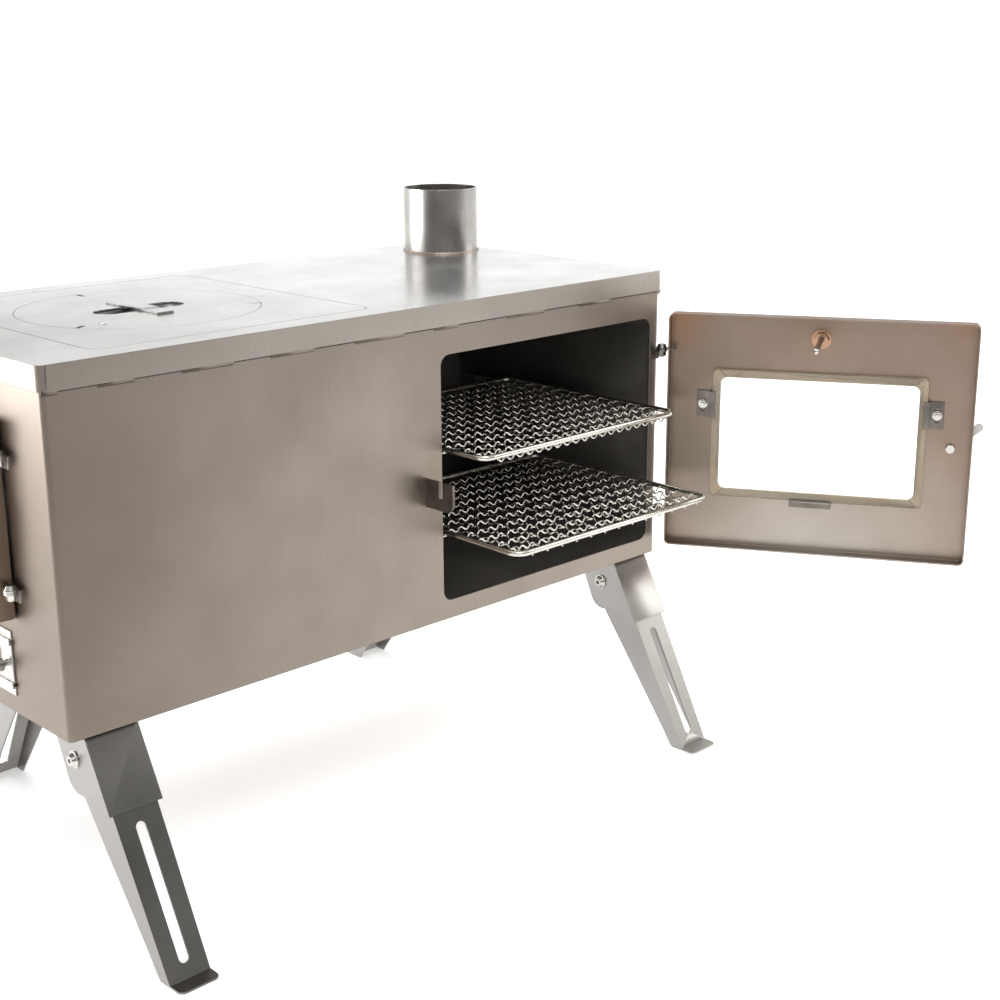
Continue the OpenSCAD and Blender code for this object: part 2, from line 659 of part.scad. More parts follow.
module latch_lever(w, z) on_latch(w, z) difference() {
  translate([0, lever_y + lever_t, 0]) sheet_y(lever_t) {
    circle(9);
    translate([-nose_l + nose_h / 2, -nose_h / 2]) square([nose_l - nose_h / 2 + 1, nose_h]);
    translate([-nose_l + nose_h / 2, 0]) circle(nose_h / 2);
    rotate(-arm_drop) polygon([[0, -8.5], [arm_l, -5.5], [arm_l, 5.5], [0, 8.5]]);
    rotate(-arm_drop) translate([arm_l, 0]) circle(6);
  }
  bar_y(pin_d / 2 + pin_clear, 60);
  rotate([0, arm_drop, 0]) translate([arm_l, 0, 0]) bar_y(2, 60);
}

// Turned knob, riveted to the arm of its lever
module latch_knob(w, z) on_latch(w, z) rotate([0, arm_drop, 0])
  translate([arm_l, lever_y, 0]) rotate([90, 0, 0]) {
  rotate_extrude() polygon([
    [0, 0], [knob_d * 0.3, 0], [knob_d * 0.3, 3], [knob_d * 0.22, 5],
    [knob_d * 0.3, knob_l * 0.4], [knob_d * 0.5, knob_l * 0.62], [knob_d * 0.5, knob_l * 0.85],
    [knob_d * 0.4, knob_l * 0.97], [knob_d * 0.3, knob_l], [0, knob_l]]);
  translate([0, 0, -lever_t - 1]) cylinder(r = 1.95, h = lever_t + 1 + eps);
}

// Bolt that carries a latch lever, with its spacer, head and inner nut
module latch_bolt(w, z) translate([-pin_to_pan - w + latch_in, 0, z]) {
  translate([0, pan_skin, 0]) rotate([-90, 0, 0]) cylinder(r = 4, h = 3.2, $fn = 6);
  translate([0, lever_y - 0.4, 0]) rotate([-90, 0, 0]) cylinder(r = pin_d / 2, h = pan_skin - lever_y + 1);
  translate([0, lever_y + lever_t + 0.2, 0]) rotate([-90, 0, 0]) cylinder(r = 4, h = 1.3);
  translate([0, lever_y - seat_gap, 0]) rotate([90, 0, 0]) cylinder(r1 = 4.4, r2 = 3, h = 2.6);
}
module latch_hole(w, z) translate([-pin_to_pan - w + latch_in, pan_face, z]) bar_y(pin_d / 2 + pin_clear, 8);

oven_win_z = oven_pan_h / 2 - window_drop;
fuel_win_z = fuel_pan_h / 2;
oven_latch_up = floor_z + oven_latch_z - oven_door_z;

module oven_hinge_lugs() color(bright) on_oven_door(0)
  for (z = [hinge_low, oven_pan_h - hinge_high]) hinge_lug(z);
module oven_hinge_bolts() color(bright) on_oven_door(0)
  for (z = [hinge_low, oven_pan_h - hinge_high]) hinge_bolt(z);
module oven_latch_catch() color(bright) on_oven_door(0) catch_plate(oven_pan_w, oven_latch_up);

module oven_door_pan() color(steel) on_oven_door() difference() {
  door_pan(oven_pan_w, oven_pan_h, window_w, window_h, oven_win_z);
  latch_hole(oven_pan_w, oven_latch_up);
  screw_shafts(oven_pan_w, window_w, oven_win_z, 2);
  translate([-pin_to_pan - oven_pan_w / 2, pan_face, thermo_up]) bar_y(stem_d / 2 + pin_clear, 8);
  for (z = [hinge_low, oven_pan_h - hinge_high])
    translate([-pin_to_pan - pan_t - 1, -2.5, z]) cube([pan_t + 2, 5, tab_t]);
}
module oven_door_tabs() color(bright) on_oven_door()
  for (z = [hinge_low, oven_pan_h - hinge_high]) hinge_tab(z);
module oven_window_gasket() color(tan_seal) on_oven_door()
  window_gasket(oven_pan_w, window_w, window_h, oven_win_z);
module oven_window_glass() color(clear_glass) on_oven_door()
  window_glass(oven_pan_w, window_w, window_h, oven_win_z);
module oven_glass_clips() color(bright) on_oven_door() glass_clips(oven_pan_w, window_w, oven_win_z);
module oven_clip_screws() color(bright) on_oven_door() {
  clip_screws(oven_pan_w, window_w, oven_win_z);
  screw_shafts(oven_pan_w, window_w, oven_win_z, 1.9);
}
module oven_latch_bolt() color(bright) on_oven_door() latch_bolt(oven_pan_w, oven_latch_up);
module oven_latch_lever() color(bright) on_oven_door() latch_lever(oven_pan_w, oven_latch_up);
module oven_latch_knob() color(bright) on_oven_door() latch_knob(oven_pan_w, oven_latch_up);

// Thermometer, in the frame of its axis: +Z points out of the door, z = 0 is the door's face
module on_thermometer() on_oven_door()
  translate([-pin_to_pan - oven_pan_w / 2, pan_face, thermo_up]) rotate([90, 0, 0]) children();
dial_z = 1.6;
needle_z = dial_z + 1.4;
lens_z = thermo_case_h - 2;

module thermometer_case() color(bright) on_thermometer() rotate_extrude($fn = 96)
  polygon([[stem_d / 2 + pin_clear, 0], [thermo_d / 2 - 1.5, 0], [thermo_d / 2, 1.5],
           [thermo_d / 2, thermo_case_h - 1], [thermo_d / 2 - 1, thermo_case_h],
           [thermo_d / 2 - 2.6, thermo_case_h], [thermo_d / 2 - 1.6, thermo_case_h - 1],
           [thermo_d / 2 - 1.6, dial_z], [stem_d / 2 + pin_clear, dial_z]]);
module thermometer_dial() color("white") on_thermometer() translate([0, 0, dial_z]) difference() {
  cylinder(r = thermo_d / 2 - 1.8, h = 0.6);
  translate([0, 0, -1]) cylinder(r = 1, h = 3);
}
module thermometer_lens() color(clear_glass) on_thermometer()
  translate([0, 0, lens_z]) cylinder(r = thermo_d / 2 - 1.7, h = 0.9);
module thermometer_stem() color(bright) on_thermometer() {
  translate([0, 0, -pan_t - stem_l]) cylinder(r = stem_d / 2, h = stem_l + pan_t + dial_z - 0.1);
  cylinder(r = 0.8, h = needle_z + 1);
  translate([0, 0, -pan_t - stem_l]) sphere(r = stem_d / 2);
}
module thermometer_nut() color([0.72, 0.45, 0.30]) on_thermometer() translate([0, 0, -pan_t]) difference() {
  union() {
    translate([0, 0, -1]) cylinder(r = 8.5, h = 1);
    translate([0, 0, -6]) cylinder(r = 6.6, h = 5, $fn = 6);
  }
  translate([0, 0, -8]) cylinder(r = stem_d / 2 + pin_clear, h = 10);
}
module thermometer_needle() color("black") on_thermometer() translate([0, 0, needle_z]) difference() {
  linear_extrude(0.5) {
    circle(2);
    polygon([[-1.1, -4], [1.1, -4], [0.3, thermo_d / 2 - 5], [-0.3, thermo_d / 2 - 5]]);
  }
  translate([0, 0, -1]) cylinder(r = 0.8 + pin_clear, h = 3);
}

// Round rod bent into a rectangle with round corners, drawn round the origin
module rod_loop(w, d, r, rod_r) {
  for (side = [-1, 1]) {
    translate([0, side * d / 2, 0]) bar_x(rod_r, w - 2 * r);
    translate([side * w / 2, 0, 0]) bar_y(rod_r, d - 2 * r);
  }
  for (q = [0 : 3]) {
    sx = (q == 0 || q == 3) ? 1 : -1;
    sy = q < 2 ? 1 : -1;
    translate([sx * (w / 2 - r), sy * (d / 2 - r), 0]) rotate(90 * q)
      rotate_extrude(angle = 90) translate([r, 0]) circle(rod_r, $fn = 32);
  }
}

// A crimped wire along X from -l/2 to l/2 over n gaps: it passes over and under the wires it crosses
module crimped_wire(l, n, start) {
  r = wire_d / 2;
  step = l / n;
  lift = r + seat_gap / 2;
  sides = 4;
  rings = [for (i = [0 : n]) [-l / 2 + i * step, (i == 0 || i == n) ? 0 : lift * start * (i % 2 == 0 ? 1 : -1)]];
  points = [for (p = rings, k = [0 : sides - 1])
    [p[0], r * cos(360 * k / sides), p[1] + r * sin(360 * k / sides)]];
  faces = concat(
    [[for (k = [0 : sides - 1]) k]],
    [[for (k = [0 : sides - 1]) n * sides + sides - 1 - k]],
    [for (i = [0 : n - 1], k = [0 : sides - 1])
      [i * sides + k, (i + 1) * sides + k, (i + 1) * sides + (k + 1) % sides]],
    [for (i = [0 : n - 1], k = [0 : sides - 1])
      [i * sides + k, (i + 1) * sides + (k + 1) % sides, i * sides + (k + 1) % sides]]);
  polyhedron(points, faces);
}

// Places a rack by its height over the floor and how far it is drawn out
module on_rack(z, out) translate([mouth_x, front_y - out + rack_d / 2, floor_z + z]) children();
module rack_frame(z, out) color(bright) on_rack(z, out)
  rod_loop(rack_w - rod_d, rack_d - rod_d, rack_r, rod_d / 2);
module rack_mesh(z, out) color(bright) on_rack(z, out) {
  clear_w = rack_w - 2 * rod_d - 2 * seat_gap;
  clear_d = rack_d - 2 * rod_d - 2 * seat_gap;
  for (j = [1 : gaps_y - 1]) translate([0, -clear_d / 2 + j * clear_d / gaps_y, 0])
    crimped_wire(clear_w, gaps_x, j % 2 == 0 ? 1 : -1);
  for (i = [1 : gaps_x - 1]) translate([-clear_w / 2 + i * clear_w / gaps_x, 0, 0])
    rotate(90) crimped_wire(clear_d, gaps_y, i % 2 == 0 ? -1 : 1);
}

module fuel_hinge_lugs() color(bright) on_fuel_door()
  for (z = [fuel_hinge_in, fuel_pan_h - fuel_hinge_in]) hinge_lug(z);
module fuel_hinge_bolts() color(bright) on_fuel_door()
  for (z = [fuel_hinge_in, fuel_pan_h - fuel_hinge_in]) hinge_bolt(z);
module fuel_latch_catch() color(bright) on_fuel_door() catch_plate(fuel_pan_w, fuel_latch_up);
module fuel_door_pan() color(steel) on_fuel_door() difference() {
  door_pan(fuel_pan_w, fuel_pan_h, fuel_window_w, fuel_window_h, fuel_win_z);
  latch_hole(fuel_pan_w, fuel_latch_up);
  screw_shafts(fuel_pan_w, fuel_window_w, fuel_win_z, 2);
  for (z = [fuel_hinge_in, fuel_pan_h - fuel_hinge_in])
    translate([-pin_to_pan - pan_t - 1, -2.5, z]) cube([pan_t + 2, 5, tab_t]);
}
module fuel_door_tabs() color(bright) on_fuel_door()
  for (z = [fuel_hinge_in, fuel_pan_h - fuel_hinge_in]) hinge_tab(z);
module fuel_window_gasket() color(tan_seal) on_fuel_door()
  window_gasket(fuel_pan_w, fuel_window_w, fuel_window_h, fuel_win_z);
module fuel_window_glass() color(clear_glass) on_fuel_door()
  window_glass(fuel_pan_w, fuel_window_w, fuel_window_h, fuel_win_z);
module fuel_glass_clips() color(bright) on_fuel_door() glass_clips(fuel_pan_w, fuel_window_w, fuel_win_z);
module fuel_clip_screws() color(bright) on_fuel_door() {
  clip_screws(fuel_pan_w, fuel_window_w, fuel_win_z);
  screw_shafts(fuel_pan_w, fuel_window_w, fuel_win_z, 1.9);
}
module fuel_latch_bolt() color(bright) on_fuel_door() latch_bolt(fuel_pan_w, fuel_latch_up);
module fuel_latch_lever() color(bright) on_fuel_door() latch_lever(fuel_pan_w, fuel_latch_up);
module fuel_latch_knob() color(bright) on_fuel_door() latch_knob(fuel_pan_w, fuel_latch_up);

// Air slide: a slotted plate outside the left wall, between two folded guides
slide_l = air_slots * air_pitch + 16;
slide_h = air_slot_h + 12;
slide_t = 1.5;
slide_shift = air_pitch / 2;
module air_slide_plate() color(bright) {
  translate([left_x - seat_gap - slide_t, mid_y - slide_shift, floor_z + air_z]) sheet_x(slide_t) difference() {
    round_rect(slide_l, slide_h, 4);
    for (i = [0 : air_slots - 1]) translate([(i - (air_slots - 1) / 2) * air_pitch, 0])
      rotate(90) stadium(air_slot_h, air_slot_w);
  }
  translate([left_x - seat_gap - slide_t, mid_y - slide_shift - slide_l / 2 + 6, floor_z + air_z])
    rotate([0, -90, 0]) rotate_extrude()
      polygon([[0, -eps], [2.5, -eps], [2.5, 3], [5, 5], [5, 9], [4, 10], [0, 10]]);
}
module air_slide_guides() color(steel) for (side = [-1, 1])
  translate([left_x, mid_y, floor_z + air_z]) mirror([0, 0, side < 0 ? 1 : 0])
    rotate([90, 0, 0]) translate([0, 0, -slide_l / 2 - slide_shift]) linear_extrude(slide_l + 2 * slide_shift)
      polygon([[0, slide_h / 2 + seat_gap], [-slide_t - 2 * seat_gap, slide_h / 2 + seat_gap],
               [-slide_t - 2 * seat_gap, slide_h / 2 - 3], [-slide_t - 2 * seat_gap - 1.2, slide_h / 2 - 3],
               [-slide_t - 2 * seat_gap - 1.2, slide_h / 2 + seat_gap + 1.2], [-1.2, slide_h / 2 + seat_gap + 1.2],
               [-1.2, slide_h / 2 + 7], [0, slide_h / 2 + 7]]);

body_shell();
top_plate();
hob_frame();
hob_plate();
hob_lid_ring();
hob_lid();
hob_lid_strap();
flue_collar();
oven_liner();
rack_rails();
fire_grate();
leg_bracket(false, true);  // leg_bracket_front_left
leg_bracket(true, true);  // leg_bracket_front_right
leg_bracket(false, false);  // leg_bracket_rear_left
leg_bracket(true, false);  // leg_bracket_rear_right
leg_bolts();
leg(false, true);  // leg_front_left
leg(true, true);  // leg_front_right
leg(false, false);  // leg_rear_left
leg(true, false);  // leg_rear_right
oven_hinge_lugs();
oven_hinge_bolts();
oven_latch_catch();
oven_door_pan();
oven_door_tabs();
oven_window_gasket();
oven_window_glass();
oven_glass_clips();
oven_clip_screws();
oven_latch_bolt();
oven_latch_lever();
oven_latch_knob();
thermometer_case();
thermometer_dial();
thermometer_lens();
thermometer_stem();
thermometer_nut();
thermometer_needle();
rack_frame(upper_rack_z, upper_rack_out);  // upper_rack_frame
rack_mesh(upper_rack_z, upper_rack_out);  // upper_rack_mesh
rack_frame(lower_rack_z, lower_rack_out);  // lower_rack_frame
rack_mesh(lower_rack_z, lower_rack_out);  // lower_rack_mesh
fuel_hinge_lugs();
fuel_hinge_bolts();
fuel_latch_catch();
fuel_door_pan();
fuel_door_tabs();
fuel_window_gasket();
fuel_window_glass();
fuel_glass_clips();
fuel_clip_screws();
fuel_latch_bolt();
fuel_latch_lever();
fuel_latch_knob();
air_slide_guides();
air_slide_plate();
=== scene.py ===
import json
import math

import bpy
import bmesh
from mathutils import Matrix, Vector


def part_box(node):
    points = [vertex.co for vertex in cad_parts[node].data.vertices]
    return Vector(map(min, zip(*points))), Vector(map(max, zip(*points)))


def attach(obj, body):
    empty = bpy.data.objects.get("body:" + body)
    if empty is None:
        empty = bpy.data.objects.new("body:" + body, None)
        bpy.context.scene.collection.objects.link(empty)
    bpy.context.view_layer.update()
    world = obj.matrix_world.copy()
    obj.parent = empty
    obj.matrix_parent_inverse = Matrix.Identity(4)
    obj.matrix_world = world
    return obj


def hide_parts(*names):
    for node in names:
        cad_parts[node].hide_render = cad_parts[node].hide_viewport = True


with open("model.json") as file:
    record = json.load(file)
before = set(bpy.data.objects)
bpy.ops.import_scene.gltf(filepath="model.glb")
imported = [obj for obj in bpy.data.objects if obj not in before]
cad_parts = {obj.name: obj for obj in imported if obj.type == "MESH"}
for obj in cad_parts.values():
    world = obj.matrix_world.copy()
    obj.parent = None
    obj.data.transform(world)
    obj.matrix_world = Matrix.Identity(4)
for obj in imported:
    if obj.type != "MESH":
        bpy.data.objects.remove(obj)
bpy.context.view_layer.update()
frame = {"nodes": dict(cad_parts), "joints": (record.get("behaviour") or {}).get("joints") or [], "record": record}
nodes = frame["nodes"]

MM = 0.001
UP = Vector((0, 0, 1))
body_low, body_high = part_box("body_shell")
top_low, top_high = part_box("top_plate")
door_low, door_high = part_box("oven_door_pan")
joints = {j["name"]: j for j in frame["joints"]}
hinge = Vector(joints["oven_door_hinge"]["pos_m"])

# Oven door: its angle from shut, its width, and the way it points from the hinge
DOOR_OPEN = math.radians(-joints["oven_door_hinge"]["range_deg"][0])
DOOR_W = 270 * MM
out_dir = Vector((math.cos(DOOR_OPEN - math.pi), math.sin(DOOR_OPEN - math.pi), 0))

# Camera: its place from the body's lower front right corner, and its direction
CAMERA_FROM_CORNER = Vector((-1.0804, -0.9173, 0.4557))
CAMERA_AZIMUTH = math.radians(43.93)
CAMERA_DOWN = math.radians(16.07)
CAMERA_ROLL = math.radians(-0.3)
FOCAL_PX = 1605
FRAME_PX = 1000
SENSOR = 36


def make_camera():
    data = bpy.data.cameras.new("camera")
    data.sensor_width = SENSOR
    data.lens = FOCAL_PX / FRAME_PX * SENSOR
    data.clip_start = 10 * MM
    cam = bpy.data.objects.new("camera", data)
    bpy.context.scene.collection.objects.link(cam)
    corner = Vector((body_high.x, body_low.y, body_low.z))
    forward = Vector((
        math.sin(CAMERA_AZIMUTH) * math.cos(CAMERA_DOWN),
        math.cos(CAMERA_AZIMUTH) * math.cos(CAMERA_DOWN),
        -math.sin(CAMERA_DOWN),
    ))
    aim = forward.to_track_quat("-Z", "Y").to_matrix().to_4x4()
    roll = Matrix.Rotation(CAMERA_ROLL, 4, "Z")
    cam.matrix_world = Matrix.Translation(corner + CAMERA_FROM_CORNER) @ aim @ roll
    bpy.context.scene.camera = cam


# Node helpers

# Stretch of a noise that is spread over a whole change of tone
SOFT_SPAN = (0.3, 0.7)
SHARP_SPAN = (0.35, 0.65)


def new_material(name):
    mat = bpy.data.materials.new(name)
    mat.use_nodes = True
    tree = mat.node_tree
    tree.nodes.clear()
    out = tree.nodes.new("ShaderNodeOutputMaterial")
    shader = tree.nodes.new("ShaderNodeBsdfPrincipled")
    tree.links.new(shader.outputs[0], out.inputs["Surface"])
    return mat, tree, shader


def noise(tree, scale, stretch=(1, 1, 1), turn=0.0, detail=4.0, rough=0.5):
    """Noise in the row frame, turned about Z before it is stretched."""
    coords = tree.nodes.new("ShaderNodeTexCoord").outputs["Object"]
    if turn:
        spin = tree.nodes.new("ShaderNodeMapping")
        spin.inputs["Rotation"].default_value = (0, 0, turn)
        tree.links.new(coords, spin.inputs[0])
        coords = spin.outputs[0]
    mapping = tree.nodes.new("ShaderNodeMapping")
    mapping.inputs["Scale"].default_value = stretch
    tree.links.new(coords, mapping.inputs[0])
    tex = tree.nodes.new("ShaderNodeTexNoise")
    tex.inputs["Scale"].default_value = scale
    tex.inputs["Detail"].default_value = detail
    tex.inputs["Roughness"].default_value = rough
    tree.links.new(mapping.outputs[0], tex.inputs["Vector"])
    return tex.outputs["Fac"]


def ramp(tree, value, stops):
    """Colour of a value, from (place, colour) stops in rising order."""
    node = tree.nodes.new("ShaderNodeValToRGB")
    ends = node.color_ramp.elements
    for end, (place, colour) in ((ends[0], stops[0]), (ends[1], stops[-1])):
        end.position = place
        end.color = (*colour, 1)
    for place, colour in stops[1:-1]:
        ends.new(place).color = (*colour, 1)
    tree.links.new(value, node.inputs[0])
    return node.outputs["Color"]


def mapped(tree, value, span, low, high):
    """A value's span spread from low to high, and held there outside the span."""
    node = tree.nodes.new("ShaderNodeMapRange")
    node.inputs["From Min"].default_value = span[0]
    node.inputs["From Max"].default_value = span[1]
    node.inputs["To Min"].default_value = low
    node.inputs["To Max"].default_value = high
    tree.links.new(value, node.inputs["Value"])
    return node.outputs[0]


def mix_colour(tree, fac, a, b):
    """Colour a, or b where the factor is 1; each is a socket or a plain colour."""
    node = tree.nodes.new("ShaderNodeMix")
    node.data_type = "RGBA"
    tree.links.new(fac, node.inputs["Factor"])
    for socket, value in ((node.inputs["A"], a), (node.inputs["B"], b)):
        if isinstance(value, bpy.types.NodeSocket):
            tree.links.new(value, socket)
        else:
            socket.default_value = (*value, 1)
    return [o for o in node.outputs if o.type == "RGBA"][0]


def add_bump(tree, shader, height, strength, distance, bevel=0.0):
    bump = tree.nodes.new("ShaderNodeBump")
    bump.inputs["Strength"].default_value = strength
    bump.inputs["Distance"].default_value = distance
    tree.links.new(height, bump.inputs["Height"])
    if bevel:
        soft = tree.nodes.new("ShaderNodeBevel")
        soft.samples = 4
        soft.inputs["Radius"].default_value = bevel
        tree.links.new(soft.outputs[0], bump.inputs["Normal"])
    tree.links.new(bump.outputs[0], shader.inputs["Normal"])


def spot(tree, centre, radius):
    """1 at a point of the row frame, falling to 0 at a radius round it."""
    coords = tree.nodes.new("ShaderNodeTexCoord")
    away = tree.nodes.new("ShaderNodeVectorMath")
    away.operation = "DISTANCE"
    away.inputs[1].default_value = centre
    tree.links.new(coords.outputs["Object"], away.inputs[0])
    return mapped(tree, away.outputs["Value"], (0.0, radius), 1.0, 0.0)


def shade(colour, share):
    return tuple(c * share for c in colour)


# Brushed sheet: scales of its noises, rounding of its edges, and the size below which
# a heat tint has a ragged edge
GRAIN_SCALE = 55
SPECK_SCALE = 900
SMUDGE_SCALE = 14
RAGGED_SCALE = 40
SHEET_BEVEL = 0.8 * MM
RAGGED_BELOW = 100 * MM
# Strength of the grain's tone, and tones of grain and specks as shares of the dark tone
GRAIN_FAC = 0.22
GRAIN_TONE = 0.72
SPECK_TONE = 0.6
# Least and greatest roughness, as shares of a metal's own
SHEET_ROUGH = (0.8, 1.25)
WORN_ROUGH = (0.75, 1.3)


def brushed_steel(name, light, dark, rough, stretch, turn=0.0, tints_and_shade=(), specks=0.12, cloud=3.0, side=None):
    """Brushed sheet: fine grain, slow clouds of tone, faint smudges, small spots of heat tint and larger patches,
    some of them painted shade.

    A patch is (centre, radius, colour, strength). A side colour, painted shade, goes on faces towards -X.
    """
    mat, tree, shader = new_material(name)
    shader.inputs["Metallic"].default_value = 1.0
    clouds = noise(tree, cloud, turn=turn, detail=5, rough=0.55)
    colour = ramp(tree, clouds, [(0.32, dark), (0.68, light)])
    fine = noise(tree, GRAIN_SCALE, stretch, turn, detail=6, rough=0.7)
    grain_fac = mapped(tree, fine, SOFT_SPAN, 0.0, GRAIN_FAC)
    colour = mix_colour(tree, grain_fac, colour, shade(dark, GRAIN_TONE))
    speck = noise(tree, SPECK_SCALE, detail=2)
    speck_fac = mapped(tree, speck, SHARP_SPAN, 0.0, specks)
    colour = mix_colour(tree, speck_fac, colour, shade(dark, SPECK_TONE))
    # Patches: small spots of heat tint, and larger patches, some of them painted shade
    for centre, radius, tint, strength in tints_and_shade:
        patch = spot(tree, centre, radius)
        if radius < RAGGED_BELOW:
            ragged = tree.nodes.new("ShaderNodeMath")
            ragged.operation = "MULTIPLY"
            edge = noise(tree, RAGGED_SCALE, detail=3)
            tree.links.new(patch, ragged.inputs[0])
            tree.links.new(mapped(tree, edge, (0.3, 0.6), 0.3, 1.0), ragged.inputs[1])
            patch = ragged.outputs[0]
        colour = mix_colour(tree, mapped(tree, patch, (0.0, 1.0), 0.0, strength), colour, tint)
    # Side colour: painted shade on faces towards -X
    if side:
        surface = tree.nodes.new("ShaderNodeNewGeometry")
        split = tree.nodes.new("ShaderNodeSeparateXYZ")
        tree.links.new(surface.outputs["Normal"], split.inputs[0])
        colour = mix_colour(tree, mapped(tree, split.outputs["X"], (-0.4, -0.95), 0.0, 1.0), colour, side)
    tree.links.new(colour, shader.inputs["Base Color"])
    smudge = noise(tree, SMUDGE_SCALE, turn=turn, detail=4)
    least, most = (rough * share for share in SHEET_ROUGH)
    tree.links.new(mapped(tree, smudge, SOFT_SPAN, least, most), shader.inputs["Roughness"])
    add_bump(tree, shader, fine, strength=0.10, distance=0.3 * MM, bevel=SHEET_BEVEL)
    return mat


def plain_metal(name, colour, rough, bevel=0.3 * MM):
    """Turned or drawn metal with a little wear."""
    mat, tree, shader = new_material(name)
    shader.inputs["Metallic"].default_value = 1.0
    wear = noise(tree, 120)
    tone = ramp(tree, wear, [(0.35, shade(colour, 0.8)), (0.65, colour)])
    tree.links.new(tone, shader.inputs["Base Color"])
    least, most = (rough * share for share in WORN_ROUGH)
    tree.links.new(mapped(tree, wear, SOFT_SPAN, least, most), shader.inputs["Roughness"])
    add_bump(tree, shader, wear, strength=0.08, distance=0.2 * MM, bevel=bevel)
    return mat


def soot_steel(name):
    """Dark, heat-blued steel inside the stove."""
    mat, tree, shader = new_material(name)
    shader.inputs["Metallic"].default_value = 0.3
    clouds = noise(tree, 9, detail=6)
    tone = ramp(tree, clouds, [
        (0.3, (0.060, 0.055, 0.050)),
        (0.55, (0.085, 0.079, 0.071)),
        (0.75, (0.14, 0.13, 0.116)),
    ])
    tree.links.new(tone, shader.inputs["Base Color"])
    tree.links.new(mapped(tree, clouds, SOFT_SPAN, 0.42, 0.7), shader.inputs["Roughness"])
    add_bump(tree, shader, noise(tree, 260, detail=3), strength=0.2, distance=0.4 * MM)
    return mat


def glass_material(name):
    """Clear glass with a faint film."""
    mat, tree, shader = new_material(name)
    shader.inputs["Base Color"].default_value = (0.97, 0.985, 0.98, 1)
    shader.inputs["Transmission Weight"].default_value = 1.0
    shader.inputs["IOR"].default_value = 1.47
    film = noise(tree, 8, detail=3)
    tree.links.new(mapped(tree, film, SOFT_SPAN, 0.0, 0.03), shader.inputs["Roughness"])
    return mat


def seal_material(name):
    """Heat-browned woven tape under the glass."""
    mat, tree, shader = new_material(name)
    clouds = noise(tree, 22)
    weave = noise(tree, 1400, detail=2)
    colour = ramp(tree, clouds, [(0.3, (0.90, 0.68, 0.45)), (0.7, (1.0, 0.84, 0.62))])
    colour = mix_colour(tree, mapped(tree, weave, SHARP_SPAN, 0.0, 0.14), colour, (0.66, 0.48, 0.31))
    tree.links.new(colour, shader.inputs["Base Color"])
    shader.inputs["Roughness"].default_value = 0.8
    shader.inputs["Sheen Weight"].default_value = 0.2
    add_bump(tree, shader, weave, strength=0.5, distance=0.3 * MM)
    return mat


def enamel(name, colour, rough):
    """Painted or printed surface with a faint mottle."""
    mat, tree, shader = new_material(name)
    mottle = noise(tree, 300, detail=3)
    tone = ramp(tree, mottle, [(0.3, shade(colour, 0.93)), (0.7, colour)])
    tree.links.new(tone, shader.inputs["Base Color"])
    shader.inputs["Roughness"].default_value = rough
    shader.inputs["Coat Weight"].default_value = 0.3
    return mat


# Materials of the object

ORANGE = (0.34, 0.18, 0.09)
BROWN = (0.20, 0.13, 0.085)
WARM_LIGHT = (0.335, 0.29, 0.25)
WARM_DARK = (0.275, 0.235, 0.20)

# Grain that is finer along one axis, so that the brushing runs across that axis
FINE_X = (14, 1, 1)
FINE_X_TOP = (10, 1, 1)
FINE_Y = (1, 14, 1)
FINE_Z = (1, 1, 8)
EVEN = (1, 1, 1)


def on_door(along, z):
    """A point of the door, from its share of the width from the hinge and its height."""
    point = hinge + out_dir * (DOOR_W * along)
    return (point.x, point.y, z)


DOOR_TINTS = [
    (on_door(0.5, door_low.z - 20 * MM), 170 * MM, (0.44, 0.41, 0.37), 1.0),
    (on_door(0.02, door_low.z + 110 * MM), 110 * MM, (0.16, 0.135, 0.11), 0.7),
    (on_door(0.03, door_high.z - 4 * MM), 45 * MM, ORANGE, 0.7),
    (on_door(0.50, door_high.z - 12 * MM), 30 * MM, ORANGE, 0.45),
    (on_door(0.97, door_high.z - 4 * MM), 35 * MM, ORANGE, 0.5),
    (on_door(0.03, door_low.z + 4 * MM), 30 * MM, BROWN, 0.6),
    (on_door(0.05, door_low.z + 140 * MM), 30 * MM, BROWN, 0.35),
]
# Body patches: two small spots of heat tint, and a large dark patch of painted shade over the lower left of the
# body
BODY_TINTS_AND_SHADE = [
    ((body_high.x, body_low.y, top_low.z), 30 * MM, BROWN, 0.5),
    ((top_high.x - 270 * MM, body_low.y, body_low.z + 120 * MM), 30 * MM, BROWN, 0.35),
    ((body_low.x - 60 * MM, body_low.y, body_low.z + 170 * MM), 340 * MM, (0.12, 0.096, 0.078), 0.95),
]
# Top: a large dark patch of painted shade over its left front, toning down a highlight
TOP_PAINTED_SHADE = [((body_low.x - 20 * MM, body_low.y + 120 * MM, top_high.z), 360 * MM, (0.30, 0.29, 0.28), 1.0)]
# Legs: a large dark patch of painted shade round the front left corner under the body
LEG_PAINTED_SHADE = [((body_low.x, body_low.y, body_low.z - 90 * MM), 400 * MM, (0.085, 0.082, 0.077), 1.0)]

